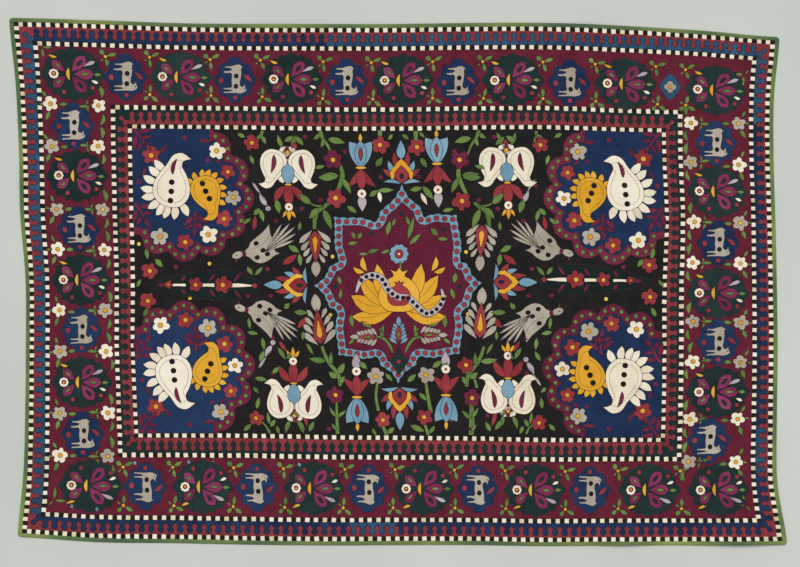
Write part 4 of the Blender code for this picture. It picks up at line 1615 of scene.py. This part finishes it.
# %% Loose leaves
# Each row: the pixel where a leaf lies, its length and width in millimetres, and its turn.
SIDE_GREENS = (
    (241.5, 135.6, 22, 11, -30), (259.5, 137, 26, 9, 35), (264, 140, 24, 10, -70), (252, 160, 25, 10, -70),
    (289, 139, 27, 13, 35), (299.7, 141, 30, 13, -45), (320, 167, 25, 10, 15), (328, 177.5, 46, 17, 3),
    (257, 211.6, 24, 13, 50), (262, 215.7, 34, 12, -80), (278, 206.5, 36, 16, -75), (299.7, 226, 25, 9, 88),
    (294, 249, 33, 15, -32), (300, 260, 33, 13, -86), (250, 271, 25, 12, -58), (259, 271, 30, 10, 50),
    (247, 221, 24, 10, 40), (147, 254, 30, 12, -75), (159, 263, 26, 14, -50), (139, 283, 22, 9, 60),
    (249.4, 323.5, 32, 10, -85), (253, 333, 30, 12, -10), (263.4, 344, 32, 11, -80), (262, 356, 30, 12, 65),
    (282, 353.6, 36, 12, -55), (289, 356, 20, 9, 65), (287, 306, 20, 13, 50), (301, 312.5, 38, 15, -5),
    (303, 335.5, 25, 9, 88), (310, 349, 34, 9, -55), (256, 390, 20, 10, -45), (258, 403, 30, 11, 80),
    (268.5, 418, 30, 9, 92), (273, 423, 22, 11, 60), (278, 430, 22, 10, -70), (247.7, 427.3, 26, 11, 40),
    (297, 414, 15, 7, -20), (301, 425, 33, 13, -50), (311.5, 426.4, 28, 12, 60), (146, 312, 26, 12, 60),
)
MIDDLE_GREENS = (
    (363, 365.3, 30, 15, -40), (342, 413.6, 26, 9, 40), (389, 377.3, 24, 10, -50), (411.8, 378, 28, 13, 40),
    (437.3, 364, 30, 14, 40), (423, 396.8, 28, 11, -50), (391, 430.3, 22, 13, 40), (374.3, 432, 22, 8, -60),
    (417.4, 428.3, 42, 16, -20), (432.1, 429.5, 26, 11, 60), (390.5, 137, 20, 10, 50),
    (405.6, 137, 20, 10, -40), (422, 135, 20, 8, -40), (379.3, 162, 28, 15, 55), (423.7, 162.7, 28, 13, -55),
    (385.8, 190.3, 42, 13, 2), (373.7, 193.3, 28, 14, 40), (416.4, 189, 32, 13, 8), (428, 192.8, 40, 15, -55),
    (352, 209.5, 30, 13, -35), (448, 210, 28, 11, 10), (444, 366, 25, 11, 45), (261, 379, 30, 12, -8),
    (276, 370, 26, 12, 50), (388.5, 228, 38, 13, 78), (394, 222, 24, 9, 65), (411, 228, 62, 13, 78),
    (415.2, 239, 38, 12, 38), (408, 221, 28, 10, 110), (353.6, 235.6, 22, 10, -60),
    (359.9, 235.6, 20, 11, 65), (352.9, 243.2, 25, 10, 8), (363.6, 254, 24, 8, 0), (373, 251, 30, 11, 20),
    (385.7, 251.6, 25, 9, 15),
    (434.6, 232, 25, 13, -50), (443, 239, 26, 11, -5), (339.5, 280.4, 22, 11, -72),
    (340.6, 293.8, 27, 10, 84), (455, 277.8, 25, 13, 80), (452.7, 293.8, 28, 11, -68),
    (366.4, 324.6, 34, 11, -30), (434.5, 323.7, 32, 11, 25), (351.6, 321, 34, 12, -78),
    (445, 321, 34, 12, 88), (351.6, 341.4, 22, 8, 40), (447, 341, 22, 9, -40),
)
REDS = (
    (293.8, 146, 36, 15, -88), (254.6, 223, 36, 11, 80), (290, 259.6, 44, 17, 35), (283, 346.5, 34, 10, -60),
    (303, 322, 40, 13, 50), (305.5, 419, 40, 11, -78),
)
CREAMS = ((379.8, 197, 30, 12, -78), (424, 199, 34, 11, -68))
LEAF_LENGTH = 30
LEAF_WIDTH = 12
LOOSE_LEAF = leaf(LEAF_LENGTH, LEAF_WIDTH, 0, 0.46) - (LEAF_LENGTH / 2, 0)


def leaf_places(table, mirror=False):
    """Places for loose leaves of given sizes, on the left or mirrored to the right."""
    places = []
    for px, py, length, width, turn in table:
        if mirror:
            px, turn = MIRROR_PIXEL_X - px, 180 - turn
        size = chance.uniform(1.04, 1.18)
        sizes = (size * length / LEAF_LENGTH, size * width / LEAF_WIDTH)
        places.append((*spot(px, py), turn + chance.uniform(-6, 6), *sizes))
    return places


greens = leaf_places(SIDE_GREENS + MIDDLE_GREENS) + leaf_places(SIDE_GREENS, mirror=True)
sew("field", "leaf_green", LOOSE_LEAF, 3, greens)
reds = leaf_places(REDS) + leaf_places(REDS, mirror=True)
sew("field", "red", LOOSE_LEAF, 1, reds)
sew("field", "cream", LOOSE_LEAF, 1, leaf_places(CREAMS))
print("loose leaves:", len(greens) + len(reds) + len(CREAMS))

# %% Dots
MAROON_DOTS = (
    (276, 221), (267.6, 269), (301.7, 208.6), (264, 185.6), (305, 137), (320.6, 200), (248, 295.7),
    (271, 295.7), (273, 338.3), (273, 373), (312, 415.4), (329, 428.8), (345, 151.5), (380.6, 177),
    (176, 267), (349, 420),
)
DARK_DOTS = ((371, 233.6), (443.5, 229.6), (335, 286.5), (459.6, 286.5), (401, 213.5))
YELLOW_DOTS = ((139, 244), (209.5, 263.6), (610, 261), (332.5, 256.6), (330.4, 315), (466, 252), (468, 314),
               (190, 298), (606, 299))
dots = spots(MAROON_DOTS) + spots((MIRROR_PIXEL_X - px, py) for px, py in MAROON_DOTS)
sew("field", "maroon", disc(13, 12, 10), 1, dots, None)
sew("field", "dark_green", disc(14, 13, 10), 3, spots(DARK_DOTS), None)
sew("field", "yellow", disc(11, 12, 10), 1, spots(YELLOW_DOTS))
print("dots:", len(dots) + len(DARK_DOTS) + len(YELLOW_DOTS))

# %% [markdown]
# ## Laying the patches
#
# All patches of one cloth in one part of the cover are joined to one piece, so that the piece can be
# repainted or handed on as a whole, and then laid as the ground cloth lies.

# %% Lay the patches
for (group, cloth), meshes in sorted(cut_meshes.items()):
    bpy.ops.object.select_all(action="DESELECT")
    for mesh in meshes:
        one = bpy.data.objects.new(f"{group}_{cloth}_patches", mesh)
        bpy.context.scene.collection.objects.link(one)
        one.select_set(True)
    bpy.context.view_layer.objects.active = one
    if len(meshes) > 1:
        bpy.ops.object.join()
    piece = bpy.context.object
    piece.name = f"{group}_{cloth}_patches"
    put_points(piece, on_floor(get_points(piece)))
    piece.data.materials.clear()
    piece.data.materials.append(wools[cloth])
    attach(piece, "root")
    triangles = len(piece.data.loops) - 2 * len(piece.data.polygons)
    print(piece.name, len(meshes), "patches", triangles, "triangles")

# %% [markdown]
# ## Chain stitch
#
# A line of silk chain stitch covers every seam: each stitch is a small loop that the next one grows from,
# so the line swells and narrows evenly. It is made as a thin rounded cord that does the same, and its
# thread is twisted silk: finer, smoother and a little glossier than the wool. Real stitches are about 3 mm
# long. They are drawn at 6 mm, which keeps the mesh of some 240 m of them light.

# %% Silk chain stitch
STITCH_MM = 6.0
# Each row: the share of a stitch, then half the chain's width and its height there, in millimetres.
CHAIN = ((0.0, 0.70, 0.24), (0.5, 1.00, 0.42))
PLIES = 3
WORN_MM = 20.0
# Each thread: how many times as wide it lies, and its darkest and lightest colour.
THREADS = {
    "dark": (1.0, "#1f1618", "#33262a"),
    "heavy": (1.5, "#1d1517", "#2f2326"),
    "seam": (1.0, "#35141c", "#4d222b"),
}


def silk(name, low, high):
    """Twisted silk thread: dark plies with a soft gloss along the stitch."""
    material, tree, shader, place = new_material(name, 0.55, sheen=0.05)
    along = add_node(tree, "ShaderNodeAttribute", {"attribute_name": "along"}).outputs["Fac"]
    turns = add_node(tree, "ShaderNodeMath", {"operation": "MULTIPLY"}, {
        0: along, 1: 2 * math.pi * per_metre(STITCH_MM / PLIES)}).outputs[0]
    ply = add_node(tree, "ShaderNodeMath", {"operation": "SINE"}, {0: turns}).outputs[0]
    worn = add_node(tree, "ShaderNodeTexNoise", inputs={"Vector": place, "Scale": per_metre(WORN_MM)})
    tone = add_node(tree, "ShaderNodeMath", {"operation": "MULTIPLY_ADD"}, {
        0: ply, 1: 0.2, 2: worn.outputs["Fac"]}).outputs[0]
    dye_and_raise(tree, shader, tone, ((0.25, low), (0.75, high)), ply, 0.4, 0.0002)
    return material


def chain_points(points, closed):
    """A line walked in half stitches: its places, its sides and how far along each is."""
    line = np.vstack([points, points[:1]]) if closed else points
    walked = np.concatenate([[0.0], np.cumsum(np.linalg.norm(np.diff(line, axis=0), axis=1))])
    stitches = max(2, round(walked[-1] / (STITCH_MM * MM)))
    along = np.linspace(0.0, walked[-1], 2 * stitches + 1)
    along = along[:-1] if closed else along
    places = np.column_stack([np.interp(along, walked, line[:, k]) for k in (0, 1)])
    if closed:
        ahead = np.roll(places, -1, axis=0) - np.roll(places, 1, axis=0)
    else:
        ahead = np.gradient(places, axis=0)
    ahead = ahead / np.maximum(np.linalg.norm(ahead, axis=1), 1e-9)[:, None]
    return places, np.column_stack([-ahead[:, 1], ahead[:, 0]]), along


def chain_mesh(name, lines, wide):
    """One mesh for many lines of chain, so many times as wide: three points round each half stitch."""
    points, faces, alongs, first = [], [], [], 0
    for line, closed, layer in lines:
        places, side, along = chain_points(line, closed)
        count = len(places)
        bead = np.arange(count) % 2
        half = np.array([CHAIN[0][1], CHAIN[1][1]])[bead][:, None] * wide * MM
        rise = np.array([CHAIN[0][2], CHAIN[1][2]])[bead] * MM
        low = np.full(count, CLOTH_THICKNESS + (layer - 1) * LAYER)
        ring = np.stack([
            np.column_stack([places + side * half, low]),
            np.column_stack([places, low + LAYER + rise]),
            np.column_stack([places - side * half, low]),
        ], axis=1)
        points.append(ring.reshape(-1, 3))
        alongs.append(np.repeat(along, 3))
        here = np.arange(count if closed else count - 1)
        there = (here + 1) % count
        for a, b in ((0, 1), (1, 2), (2, 0)):
            faces.append(first + np.column_stack([3 * here + a, 3 * here + b, 3 * there + b, 3 * there + a]))
        first += 3 * count
    mesh = bpy.data.meshes.new(name)
    mesh.from_pydata(on_floor(np.concatenate(points)).tolist(), [], np.concatenate(faces).tolist())
    mesh.attributes.new("along", "FLOAT", "POINT").data.foreach_set("value", np.concatenate(alongs))
    mesh.shade_smooth()
    return mesh


threads = {name: silk(f"{name}_silk_thread", low, high) for name, (_, low, high) in THREADS.items()}
for (group, thread), lines in sorted(chain_lines.items()):
    name = f"{group}_{thread}_chain_stitch"
    chain = bpy.data.objects.new(name, chain_mesh(name, lines, THREADS[thread][0]))
    bpy.context.scene.collection.objects.link(chain)
    chain.data.materials.append(threads[thread])
    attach(chain, "root")
    print(name, len(lines), "lines", 2 * len(chain.data.polygons), "triangles")
